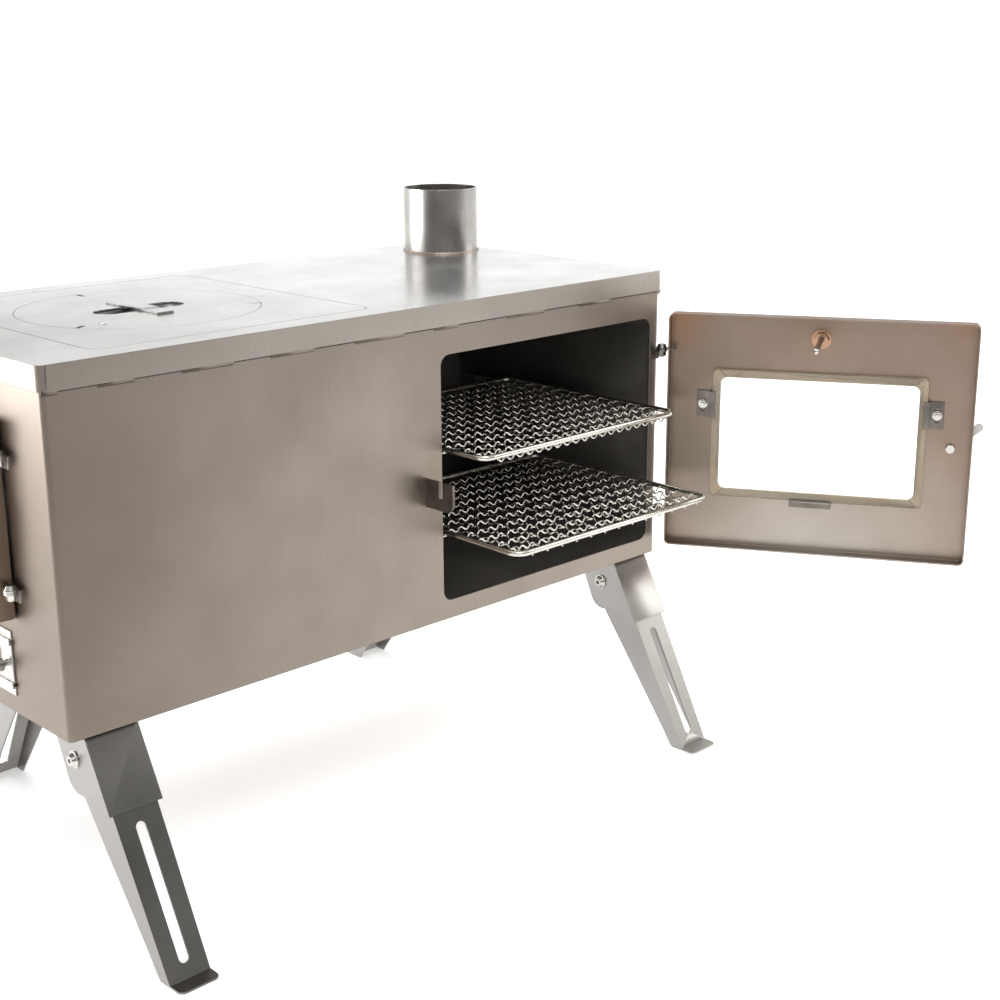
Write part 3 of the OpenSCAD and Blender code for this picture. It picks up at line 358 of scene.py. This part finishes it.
SLOT_MATERIALS = {
    "brushed_body": brushed_steel("brushed_body", WARM_LIGHT, WARM_DARK, 0.38, FINE_X, tints_and_shade=BODY_TINTS_AND_SHADE),
    "polished_top": brushed_steel("polished_top", (0.70, 0.70, 0.69), (0.655, 0.655, 0.645), 0.22, FINE_X_TOP,
                                  tints_and_shade=TOP_PAINTED_SHADE, specks=0.03),
    "bright_steel": brushed_steel("bright_steel", (0.62, 0.61, 0.58), (0.48, 0.46, 0.43), 0.34, FINE_Z,
                                  cloud=16),
    "sooted_steel": soot_steel("sooted_steel"),
    "door_steel": brushed_steel("door_steel", (0.37, 0.285, 0.228), (0.29, 0.218, 0.172), 0.38, FINE_Y,
                                turn=-DOOR_OPEN, tints_and_shade=DOOR_TINTS),
    "gasket": seal_material("gasket"),
    "glass": glass_material("glass"),
    "fastener_steel": plain_metal("fastener_steel", (0.62, 0.60, 0.57), 0.22),
    "copper_tint": plain_metal("copper_tint", (0.55, 0.34, 0.22), 0.28),
    "dial_face": enamel("dial_face", (0.86, 0.85, 0.80), 0.35),
    "needle": enamel("needle", (0.02, 0.02, 0.02), 0.4),
    "rack_wire": plain_metal("rack_wire", (0.72, 0.69, 0.63), 0.20, bevel=0.0),
}
# Near-black: painted shade in the open stretches under the lip
GAP_SHADE = enamel("painted_gap_shade", (0.03, 0.028, 0.025), 0.9)
INK = enamel("ink", (0.03, 0.03, 0.03), 0.5)
WELD = plain_metal("weld_bead", (0.50, 0.40, 0.32), 0.4)
# Upright faces of the top's lip: a darker copy of the top's steel, painted shade
SHADED_LIP = brushed_steel("lip_steel_shaded", (0.44, 0.405, 0.36), (0.33, 0.30, 0.265), 0.34, FINE_X, tints_and_shade=BODY_TINTS_AND_SHADE)
# Leg steel: a darker side colour on faces towards -X, painted shade
LEG = brushed_steel("leg_steel", (0.48, 0.46, 0.43), (0.40, 0.385, 0.36), 0.36, FINE_Z, tints_and_shade=LEG_PAINTED_SHADE,
                    cloud=9, side=(0.31, 0.30, 0.288))
COLLAR = brushed_steel("collar_steel", (0.47, 0.45, 0.43), (0.36, 0.345, 0.33), 0.26, EVEN, cloud=30)
CLIP = brushed_steel("clip_steel", (0.21, 0.19, 0.168), (0.115, 0.103, 0.091), 0.30, FINE_Z, cloud=60)
DARK_BOLT = plain_metal("dark_bolt", (0.22, 0.20, 0.18), 0.30)
DISH = brushed_steel("dish_steel", (0.30, 0.30, 0.30), (0.16, 0.16, 0.16), 0.35, (4, 1, 1), cloud=30)

# Nodes that don't look like the rest of their slot
OWN_FINISH = {
    "flue_collar": COLLAR,
    "oven_glass_clips": CLIP,
    "fuel_glass_clips": CLIP,
    "oven_door_tabs": CLIP,
    "oven_latch_catch": CLIP,
    "oven_hinge_bolts": DARK_BOLT,
    "oven_hinge_lugs": DARK_BOLT,
}


def dress_nodes():
    """One material on each CAD node, by its slot or its own finish."""
    for part in frame["record"]["subparts"]:
        name, slot = part["node"], part["material_slot"]
        material = OWN_FINISH.get(name, SLOT_MATERIALS[slot])
        if name.startswith("leg_") and slot == "bright_steel":
            material = LEG
        nodes[name].data.materials.clear()
        nodes[name].data.materials.append(material)


# Mesh helpers

def mesh_object(name, bm, material, smooth=True):
    """An object of a finished mesh, in the row frame."""
    mesh = bpy.data.meshes.new(name)
    bm.to_mesh(mesh)
    bm.free()
    for face in mesh.polygons:
        face.use_smooth = smooth
    mesh.materials.append(material)
    obj = bpy.data.objects.new(name, mesh)
    bpy.context.scene.collection.objects.link(obj)
    return obj


def angles(count):
    """Evenly spaced angles over one turn."""
    return [2 * math.pi * k / count for k in range(count)]


def skin(bm, a, b, flip=False):
    """Quads between two closed rings with the same number of points."""
    for k in range(len(a)):
        after = (k + 1) % len(a)
        if flip:
            bm.faces.new((a[k], b[k], b[after], a[after]))
        else:
            bm.faces.new((a[k], a[after], b[after], b[k]))


def skin_all(bm, rings, flip=False):
    for a, b in zip(rings, rings[1:]):
        skin(bm, a, b, flip)


def sweep(bm, path, radius, sides=6):
    """A closed tube along a list of points."""
    rings = []
    last = len(path) - 1
    for i, point in enumerate(path):
        ahead = path[min(i + 1, last)] - path[max(i - 1, 0)]
        ahead.normalize()
        side = ahead.cross(UP)
        side.normalize()
        up = side.cross(ahead)
        rings.append([bm.verts.new(point + (side * math.cos(a) + up * math.sin(a)) * radius)
                      for a in angles(sides)])
    skin_all(bm, rings)
    bm.faces.new(list(reversed(rings[0])))
    bm.faces.new(rings[-1])


# Bent sheet

# Radii of the outside and the inside of a bend
LEG_BEND = (3.5 * MM, 2.0 * MM)
TOP_BEND = (3.2 * MM, 1.7 * MM)
BEND_STEPS = 5
# A fold is an edge this long, between faces this wide, at an angle near a right one
FOLD_LEAST = 4 * MM
FOLD_ANGLES = (1.2, 1.9)
# Bends of the top lie this close to its upper face; its faces whose normals rise less
# than LIP_RISE belong to the lip, and take a darker copy of the top's steel as painted shade
TOP_BAND = 2 * MM
LIP_RISE = 0.55
# Faces within the first angle count as flat, and edges under the second are smooth
FLAT_ANGLE = math.radians(1)
SMOOTH_ANGLE = math.radians(28)


def is_wide(face, edge):
    """Whether a face reaches further than the least width from an edge's line."""
    start = edge.verts[0].co
    along = (edge.verts[1].co - start).normalized()
    reach = [v.co - start for v in face.verts]
    return any((r - along * r.dot(along)).length > FOLD_LEAST for r in reach)


def is_fold(edge, convex):
    if len(edge.link_faces) != 2 or edge.is_convex != convex or edge.calc_length() < FOLD_LEAST:
        return False
    if not FOLD_ANGLES[0] < edge.calc_face_angle(0) < FOLD_ANGLES[1]:
        return False
    return all(is_wide(face, edge) for face in edge.link_faces)


def soft_bends(node, bend, body, chosen=lambda edge: True):
    """The same sheet part with its sharp folds turned into rounded bends."""
    bm = bmesh.new()
    bm.from_mesh(nodes[node].data)
    bmesh.ops.remove_doubles(bm, verts=bm.verts, dist=0.001 * MM)
    bmesh.ops.dissolve_limit(bm, angle_limit=FLAT_ANGLE, verts=bm.verts, edges=bm.edges)
    bmesh.ops.recalc_face_normals(bm, faces=bm.faces)
    for convex, radius in ((True, bend[0]), (False, bend[1])):
        folds = [e for e in bm.edges if is_fold(e, convex) and chosen(e)]
        if folds:
            bmesh.ops.bevel(bm, geom=folds, offset=radius, offset_type="OFFSET", segments=BEND_STEPS,
                            profile=0.5, affect="EDGES", clamp_overlap=True)
    obj = mesh_object(node + "_bent", bm, nodes[node].data.materials[0], smooth=False)
    obj.data.shade_smooth()
    obj.data.set_sharp_from_angle(angle=SMOOTH_ANGLE)
    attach(obj, body)
    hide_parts(node)
    return obj


def near_top(edge):
    return min(v.co.z for v in edge.verts) > top_high.z - TOP_BAND


def bend_sheets():
    for corner in ("front_left", "front_right", "rear_left", "rear_right"):
        soft_bends("leg_bracket_" + corner, LEG_BEND, "stove_body")
        soft_bends("leg_" + corner, LEG_BEND, "leg_" + corner)
    top = soft_bends("top_plate", TOP_BEND, "stove_body", near_top)
    # The lip's upright faces take the darker steel, painted shade
    top.data.materials.append(SHADED_LIP)
    for face in top.data.polygons:
        face.material_index = 1 if abs(face.normal.z) < LIP_RISE else 0


# Racks: crimped wires, woven under a frame of rods

ROD_D = 4.5 * MM
WIRE_R = 0.8 * MM
GAPS_X = 14
GAPS_Y = 12
# Half waves of a wire from one crossing to the next, their height, and points along them
HALF_WAVES = 3
CRIMP = 1.35 * MM
STEPS_PER_GAP = 14
# The mesh hangs this far under the middle of the rods. A wave sways sideways by a share
# of its height, and the wires along Y rise by a share of it
UNDER = 1.5 * MM
SWAY = 0.25
CROSS_RISE = 0.9
# Wires end inside the rods, at these shares of a rod's thickness from its outside
END_IN = 0.6
FRONT_END_IN = 0.5
# Loose wire along the front: its distance in from the rods' front, their ends and below,
# and how much deeper than the rest of the mesh it hangs
EDGE_IN = 2.4 * MM
EDGE_INSET = 10 * MM
EDGE_UP = 1.0 * MM
EDGE_HANG = 1.4
# Front ends of the wires along Y: how far they are drawn down, over what depth, and where
# they end in front of and under the rod
TUCK_DOWN = 1.6 * MM
TUCK_L = 5 * MM
TUCK_END_IN = 0.8 * MM
TUCK_END_UNDER = 0.7 * MM


def crimp(t, phase):
    """Height of a crimped wire: flat-topped waves with quick bends between them."""
    wave = math.sin(t + phase)
    return math.copysign(min(abs(wave) * 1.25, 1.0), wave)


def wire_path(low, high, gaps, phase, point):
    """A wire's points, flattened into the frame's level over half a gap at both ends."""
    count = gaps * STEPS_PER_GAP
    path = []
    for i in range(count + 1):
        t = i / count
        fade = min(1.0, min(t, 1 - t) * gaps * 2)
        wave = crimp(t * gaps * HALF_WAVES * math.pi, phase)
        path.append(point(low + (high - low) * t, wave * CRIMP * fade, -UNDER * fade))
    return path


def tucked_front(path, low):
    """A wire along Y whose front end is drawn down and under the front rod."""
    path = [p - UP * TUCK_DOWN if p.y < low.y + TUCK_L else p for p in path]
    return [Vector((path[0].x, low.y + TUCK_END_IN, low.z - TUCK_END_UNDER))] + path


def rack_mesh(name, body, frame_node, cad_node, edge_wire):
    """Two layers of crimped wire across a rack's frame, and a loose wire along its front."""
    low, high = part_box(frame_node)
    mid_z = (low.z + high.z) / 2
    bm = bmesh.new()
    x0, x1 = low.x + ROD_D * END_IN, high.x - ROD_D * END_IN
    y0, y1 = low.y + ROD_D * FRONT_END_IN, high.y - ROD_D * END_IN
    for j in range(1, GAPS_Y):
        y = low.y + (high.y - low.y) * j / GAPS_Y
        path = wire_path(x0, x1, GAPS_X, math.pi * (j % 2),
                         lambda x, wave, down: Vector((x, y + wave * SWAY, mid_z + wave + down)))
        sweep(bm, path, WIRE_R)
    for i in range(1, GAPS_X):
        x = low.x + (high.x - low.x) * i / GAPS_X
        path = wire_path(y0, y1, GAPS_Y, math.pi * (i % 2) + math.pi / 2,
                         lambda y, wave, down: Vector((x + wave * SWAY, y, mid_z + wave * CROSS_RISE + down)))
        sweep(bm, tucked_front(path, low), WIRE_R)
    if edge_wire:
        path = wire_path(x0 + EDGE_INSET, x1 - EDGE_INSET, GAPS_X - 1, 0.0, lambda x, wave, down: Vector(
            (x, low.y + EDGE_IN, low.z + EDGE_UP + wave + down * EDGE_HANG)))
        sweep(bm, path, WIRE_R)
    obj = mesh_object(name, bm, SLOT_MATERIALS["rack_wire"])
    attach(obj, body)
    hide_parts(cad_node)


# Seam under the lip

# Open stretches between the stitch welds under the lip, in mm from the body's right end
LIP_GAPS = [(-588, -559), (-532, -495), (-453, -421), (-382, -344),
            (-297, -266), (-241, -187), (-146, -104), (-66, -5)]
# A dark box of painted shade in an open stretch stands out from the wall and down from the lip, and starts inside
# both
GAP_OUT = 1.7 * MM
GAP_DOWN = 0.9 * MM
GAP_IN_WALL = 0.1 * MM
GAP_IN_LIP = 0.2 * MM
# A fillet between them: least length, drop on the wall, roots in the wall and the lip
FILLET_LEAST = 3 * MM
FILLET_DROP = 3.5 * MM
FILLET_STEPS = 5
FILLET_IN_WALL = 0.2 * MM
FILLET_IN_LIP = 0.5 * MM
FILLET_TOP = 0.4 * MM
FILLET_BACK = 0.02 * MM


def box_mesh(bm, low, high):
    corners = [bm.verts.new((x, y, z)) for x in (low[0], high[0]) for y in (low[1], high[1])
               for z in (low[2], high[2])]
    for quad in ((0, 1, 3, 2), (4, 6, 7, 5), (0, 4, 5, 1), (2, 3, 7, 6), (0, 2, 6, 4), (1, 5, 7, 3)):
        bm.faces.new([corners[i] for i in quad])


def weld_fillet(bm, x0, x1, wall, front, z):
    """A hollow fillet from the lip's lower edge back to the wall."""
    rings = []
    for x in (x0, x1):
        ring = [bm.verts.new((x, wall + FILLET_IN_WALL, z + FILLET_IN_LIP))]
        for i in range(FILLET_STEPS + 1):
            t = i / FILLET_STEPS
            y = front + FILLET_BACK + (wall - front) * (1 - (1 - t) ** 2)
            ring.append(bm.verts.new((x, y, z + FILLET_TOP - FILLET_DROP * t)))
        rings.append(ring)
    skin_all(bm, rings)
    bm.faces.new(rings[0])
    bm.faces.new(list(reversed(rings[1])))


def lip_seam():
    """Painted shade in the open stretches under the lip, as dark boxes, with weld fillets between them."""
    # Mesh of the dark boxes of painted shade
    dark = bmesh.new()
    weld = bmesh.new()
    z = top_low.z
    front = top_low.y
    wall = body_low.y
    weld_from = body_low.x
    for a, b in LIP_GAPS + [(0, 0)]:
        x0 = body_high.x + a * MM
        x1 = body_high.x + b * MM
        if x0 - weld_from > FILLET_LEAST:
            weld_fillet(weld, weld_from, x0, wall, front, z)
        if b > a:
            # Dark box of painted shade in the open stretch
            box_mesh(dark, (x0, wall - GAP_OUT, z - GAP_DOWN), (x1, wall + GAP_IN_WALL, z + GAP_IN_LIP))
        weld_from = x1
    gaps = mesh_object("lip_gap_shade", dark, GAP_SHADE, smooth=False)
    fillets = mesh_object("lip_welds", weld, SLOT_MATERIALS["brushed_body"])
    for obj in (gaps, fillets):
        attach(obj, "stove_body")


# Weld round the flue collar's foot

# Bead: its radius, the ripples' height and number, and how far it lies in and up from
# the collar's foot
BEAD_R = 1.05 * MM
BEAD_RIPPLE = 0.18 * MM
BEAD_RIPPLES = 48
BEAD_IN = 1.1 * MM
BEAD_UP = 0.5 * MM
BEAD_STEPS = 160
BEAD_SIDES = 8


def collar_weld():
    """Rippled bead in the corner between the flue collar and the top."""
    low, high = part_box("flue_collar")
    centre = (low + high) / 2
    radius = (high.x - low.x) / 2 - BEAD_IN
    bm = bmesh.new()
    rings = []
    for a in angles(BEAD_STEPS):
        swell = BEAD_R + BEAD_RIPPLE * math.sin(a * BEAD_RIPPLES)
        ring = []
        for b in angles(BEAD_SIDES):
            r = radius + swell * math.cos(b)
            z = low.z + BEAD_UP + swell * math.sin(b)
            ring.append(bm.verts.new((centre.x + r * math.cos(a), centre.y + r * math.sin(a), z)))
        rings.append(ring)
    skin_all(bm, rings + rings[:1], flip=True)
    obj = mesh_object("collar_weld", bm, WELD)
    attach(obj, "stove_body")


# Hob lid

# Dish: half its length and width, depth, sheet and gap under the lid; the powers that
# square its ends and its sides
DISH_HALF_L = 38.6 * MM
DISH_HALF_W = 12.6 * MM
DISH_DEPTH = 9 * MM
DISH_T = 0.8 * MM
DISH_GAP = 0.1 * MM
DISH_END_POWER = 0.55
DISH_SIDE_POWER = 0.75
DISH_STEPS = 8
DISH_SIDES = 48
DOT_FROM_CENTRE = Vector((-58 * MM, -45 * MM, 0))
# Radius and height of the pressed dot's rings, in mm
DOT_RINGS = ((3.2, 0.02), (2.6, 0.5), (1.6, 0.9), (0.7, 1.05))
DOT_SIDES = 20


def swollen(value, power):
    """A sine or cosine drawn out towards the corners of a rounded box."""
    return math.copysign(abs(value) ** power, value)


def lid_dish(centre, rim_z):
    """Pressed hollow under the finger slot."""
    bm = bmesh.new()
    rings = []
    for i in range(DISH_STEPS):
        dip = i / DISH_STEPS * math.pi / 2
        half_l = DISH_HALF_L * math.cos(dip)
        half_w = DISH_HALF_W * math.cos(dip)
        z = rim_z - DISH_DEPTH * math.sin(dip)
        rings.append([bm.verts.new((centre.x + swollen(math.cos(a), DISH_END_POWER) * half_l,
                                    centre.y + swollen(math.sin(a), DISH_SIDE_POWER) * half_w, z))
                      for a in angles(DISH_SIDES)])
    skin_all(bm, rings, flip=True)
    tip = bm.verts.new((centre.x, centre.y, rim_z - DISH_DEPTH))
    for k in range(DISH_SIDES):
        bm.faces.new((rings[-1][k], tip, rings[-1][(k + 1) % DISH_SIDES]))
    dish = mesh_object("lid_dish", bm, DISH)
    thick = dish.modifiers.new("thickness", "SOLIDIFY")
    thick.thickness = DISH_T
    thick.offset = -1
    return dish


def lid_dot(centre):
    """Small pressed dot beside the slot."""
    bm = bmesh.new()
    rings = [[bm.verts.new(centre + Vector((r * math.cos(a), r * math.sin(a), z)) * MM)
              for a in angles(DOT_SIDES)] for r, z in DOT_RINGS]
    skin_all(bm, rings)
    bm.faces.new(rings[-1])
    return mesh_object("lid_dot", bm, SLOT_MATERIALS["polished_top"])


def lid_pressings():
    low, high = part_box("hob_lid")
    middle = (low + high) / 2
    dish = lid_dish(middle, low.z - DISH_GAP)
    dot = lid_dot(Vector((middle.x, middle.y, high.z)) + DOT_FROM_CENTRE)
    for obj in (dish, dot):
        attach(obj, "hob_lid")


# Tab under the window

TAB_HALF_L = 18 * MM
# Depth of the door's skin behind the hinge line, and of the tab's foot under the seal
SKIN_BACK = 7 * MM
TAB_UNDER = 7.0 * MM
# The tab's section: distance out from the skin and height over its foot, in mm
TAB_SECTION = ((0.0, 0.0), (3.4, 1.2), (3.6, 7.6), (2.8, 8.4), (2.6, 2.0), (0.0, 1.1))


def window_tab():
    """Lanced tab of the door's skin that holds the seal's lower edge."""
    low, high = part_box("oven_window_gasket")
    inward = Vector((out_dir.y, -out_dir.x, 0))
    if inward.x > 0:
        inward = -inward
    foot = hinge + out_dir * (DOOR_W * 0.5) - inward * SKIN_BACK
    foot.z = low.z - TAB_UNDER
    bm = bmesh.new()
    ends = [[bm.verts.new(foot + out_dir * along + (inward * out + UP * up) * MM) for out, up in TAB_SECTION]
            for along in (-TAB_HALF_L, TAB_HALF_L)]
    skin_all(bm, ends)
    bm.faces.new(list(reversed(ends[0])))
    bm.faces.new(ends[1])
    bmesh.ops.recalc_face_normals(bm, faces=bm.faces)
    tab = mesh_object("window_tab", bm, CLIP, smooth=False)
    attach(tab, "oven_door")


# Thermometer dial

TICKS = 40
DEGREES_PER_TICK = 10
LONG_EVERY = 5
NUMBER_EVERY = 10
DIAL_HALF_TURN = 120
# Length and half width of a tick
LONG_TICK = (2.6 * MM, 0.28 * MM)
SHORT_TICK = (1.4 * MM, 0.14 * MM)
# Ticks end, and numbers are centred, this far in from the dial's edge and from the ticks
TICKS_IN = 0.8 * MM
NUMBERS_IN = 5.0 * MM
NUMBER_SIZE = 3.0 * MM
# The ink's thickness and its height over the middle of the dial's plate
INK_T = 0.06 * MM
INK_UP = 0.42 * MM


def dial_angle(tick):
    return math.radians(DIAL_HALF_TURN * (2 * tick / TICKS - 1))


def dial_marks():
    """Ticks and plain numbers on the thermometer's dial."""
    low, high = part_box("thermometer_dial")
    axis = Vector(joints["thermometer_needle_turn"]["axis"]).normalized()
    across = UP.cross(axis).normalized()
    face = (low + high) / 2 + axis * INK_UP
    r_out = (high.z - low.z) / 2 - TICKS_IN
    bm = bmesh.new()
    for i in range(TICKS + 1):
        a = dial_angle(i)
        length, half = LONG_TICK if i % LONG_EVERY == 0 else SHORT_TICK
        ray = across * math.sin(a) + UP * math.cos(a)
        side = (across * math.cos(a) - UP * math.sin(a)) * half
        inner, outer = face + ray * (r_out - length), face + ray * r_out
        quad = (inner - side, outer - side, outer + side, inner + side)
        base = [bm.verts.new(p) for p in quad]
        upper = [bm.verts.new(p + axis * INK_T) for p in quad]
        bm.faces.new(upper)
        bm.faces.new(list(reversed(base)))
        skin(bm, base, upper)
    marks = mesh_object("dial_ticks", bm, INK, smooth=False)
    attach(marks, "oven_door")
    turn = Matrix((across, UP, axis)).transposed().to_4x4()
    for i in range(0, TICKS + 1, NUMBER_EVERY):
        a = dial_angle(i)
        text = bpy.data.curves.new(f"dial_number_{i}", "FONT")
        text.body = str(i * DEGREES_PER_TICK)
        text.size = NUMBER_SIZE
        text.extrude = INK_T / 2
        text.align_x = "CENTER"
        text.align_y = "CENTER"
        text.materials.append(INK)
        obj = bpy.data.objects.new(f"dial_number_{i}", text)
        bpy.context.scene.collection.objects.link(obj)
        place = face + (across * math.sin(a) + UP * math.cos(a)) * (r_out - NUMBERS_IN) + axis * INK_T / 2
        obj.matrix_world = Matrix.Translation(place) @ turn
        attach(obj, "oven_door")


# Floor and light

# Flat floor's radius and the radius of its rise, in metres
FLOOR_R = 6
FLOOR_BEND = 3
FLOOR_SIDES = 96
FLOOR_STEPS = 8
FLOOR_PALE = (0.93, 0.93, 0.93)
FLOOR_DIM = (0.25, 0.25, 0.25)
FLOOR_GLOW = 0.45
# The floor dims between these distances out from its middle, towards the front
FRONTWARD = (-0.45, -0.89, 0)
DIM_SPAN = (1.2, 4.0)


def floor_material():
    """Pale floor, a little lit by itself, and dimmer far out in front."""
    mat, tree, shader = new_material("floor")
    coords = tree.nodes.new("ShaderNodeTexCoord")
    ahead = tree.nodes.new("ShaderNodeVectorMath")
    ahead.operation = "DOT_PRODUCT"
    ahead.inputs[1].default_value = FRONTWARD
    tree.links.new(coords.outputs["Object"], ahead.inputs[0])
    far = ahead.outputs["Value"]
    tone = ramp(tree, mapped(tree, far, DIM_SPAN, 0.0, 1.0), [(0.0, FLOOR_PALE), (1.0, FLOOR_DIM)])
    tree.links.new(tone, shader.inputs["Base Color"])
    shader.inputs["Roughness"].default_value = 0.9
    shader.inputs["Emission Color"].default_value = (1, 1, 1, 1)
    tree.links.new(mapped(tree, far, DIM_SPAN, FLOOR_GLOW, 0.0), shader.inputs["Emission Strength"])
    return mat


def make_stage():
    """Pale floor that curves up into a distant backdrop."""
    bm = bmesh.new()
    middle = bm.verts.new((0, 0, 0))
    rings = []
    for i in range(FLOOR_STEPS + 1):
        t = i / FLOOR_STEPS * math.pi / 2
        r = FLOOR_R + FLOOR_BEND * math.sin(t)
        z = FLOOR_BEND * (1 - math.cos(t))
        rings.append([bm.verts.new((r * math.cos(a), r * math.sin(a), z)) for a in angles(FLOOR_SIDES)])
    for k in range(FLOOR_SIDES):
        bm.faces.new((middle, rings[0][k], rings[0][(k + 1) % FLOOR_SIDES]))
    skin_all(bm, rings, flip=True)
    floor = mesh_object("floor", bm, floor_material())


def area_light(name, place, target, size, power):
    data = bpy.data.lights.new(name, "AREA")
    data.shape = "RECTANGLE"
    data.size, data.size_y = size
    data.energy = power
    obj = bpy.data.objects.new(name, data)
    bpy.context.scene.collection.objects.link(obj)
    obj.location = place
    obj.rotation_euler = (Vector(target) - Vector(place)).to_track_quat("-Z", "Y").to_euler()


def make_light():
    """White sky, a little greyer near the horizon, and four soft panels."""
    world = bpy.data.worlds.new("studio")
    bpy.context.scene.world = world
    world.use_nodes = True
    tree = world.node_tree
    tree.nodes.clear()
    out = tree.nodes.new("ShaderNodeOutputWorld")
    back = tree.nodes.new("ShaderNodeBackground")
    coords = tree.nodes.new("ShaderNodeTexCoord")
    split = tree.nodes.new("ShaderNodeSeparateXYZ")
    tree.links.new(coords.outputs["Generated"], split.inputs[0])
    height = mapped(tree, split.outputs["Z"], (0.2, 1.0), 0.0, 1.0)
    colour = ramp(tree, height, [(0.0, (0.75, 0.74, 0.73)), (1.0, (1.0, 1.0, 1.0))])
    tree.links.new(colour, back.inputs["Color"])
    back.inputs["Strength"].default_value = 0.8
    tree.links.new(back.outputs[0], out.inputs["Surface"])
    area_light("key", place=(-1.0, -1.6, 3.0), target=(0, 0, 0.2), size=(1.8, 1.8), power=45)
    area_light("back", place=(0.8, 2.4, 3.4), target=(0, 0, 0.3), size=(2.6, 1.4), power=45)
    area_light("left", place=(-1.9, 1.5, 0.28), target=(-0.3, 0, 0.2), size=(1.8, 0.5), power=42)
    area_light("right", place=(2.4, -1.2, 1.5), target=(0.1, 0, 0.3), size=(1.2, 1.6), power=20)


make_camera()
dress_nodes()
bend_sheets()
rack_mesh("upper_rack_wires", "upper_rack", "upper_rack_frame", "upper_rack_mesh", edge_wire=True)
rack_mesh("lower_rack_wires", "lower_rack", "lower_rack_frame", "lower_rack_mesh", edge_wire=False)
lid_pressings()
window_tab()
lip_seam()
collar_weld()
dial_marks()
make_stage()
make_light()
bpy.context.scene.view_settings.view_transform = "Standard"
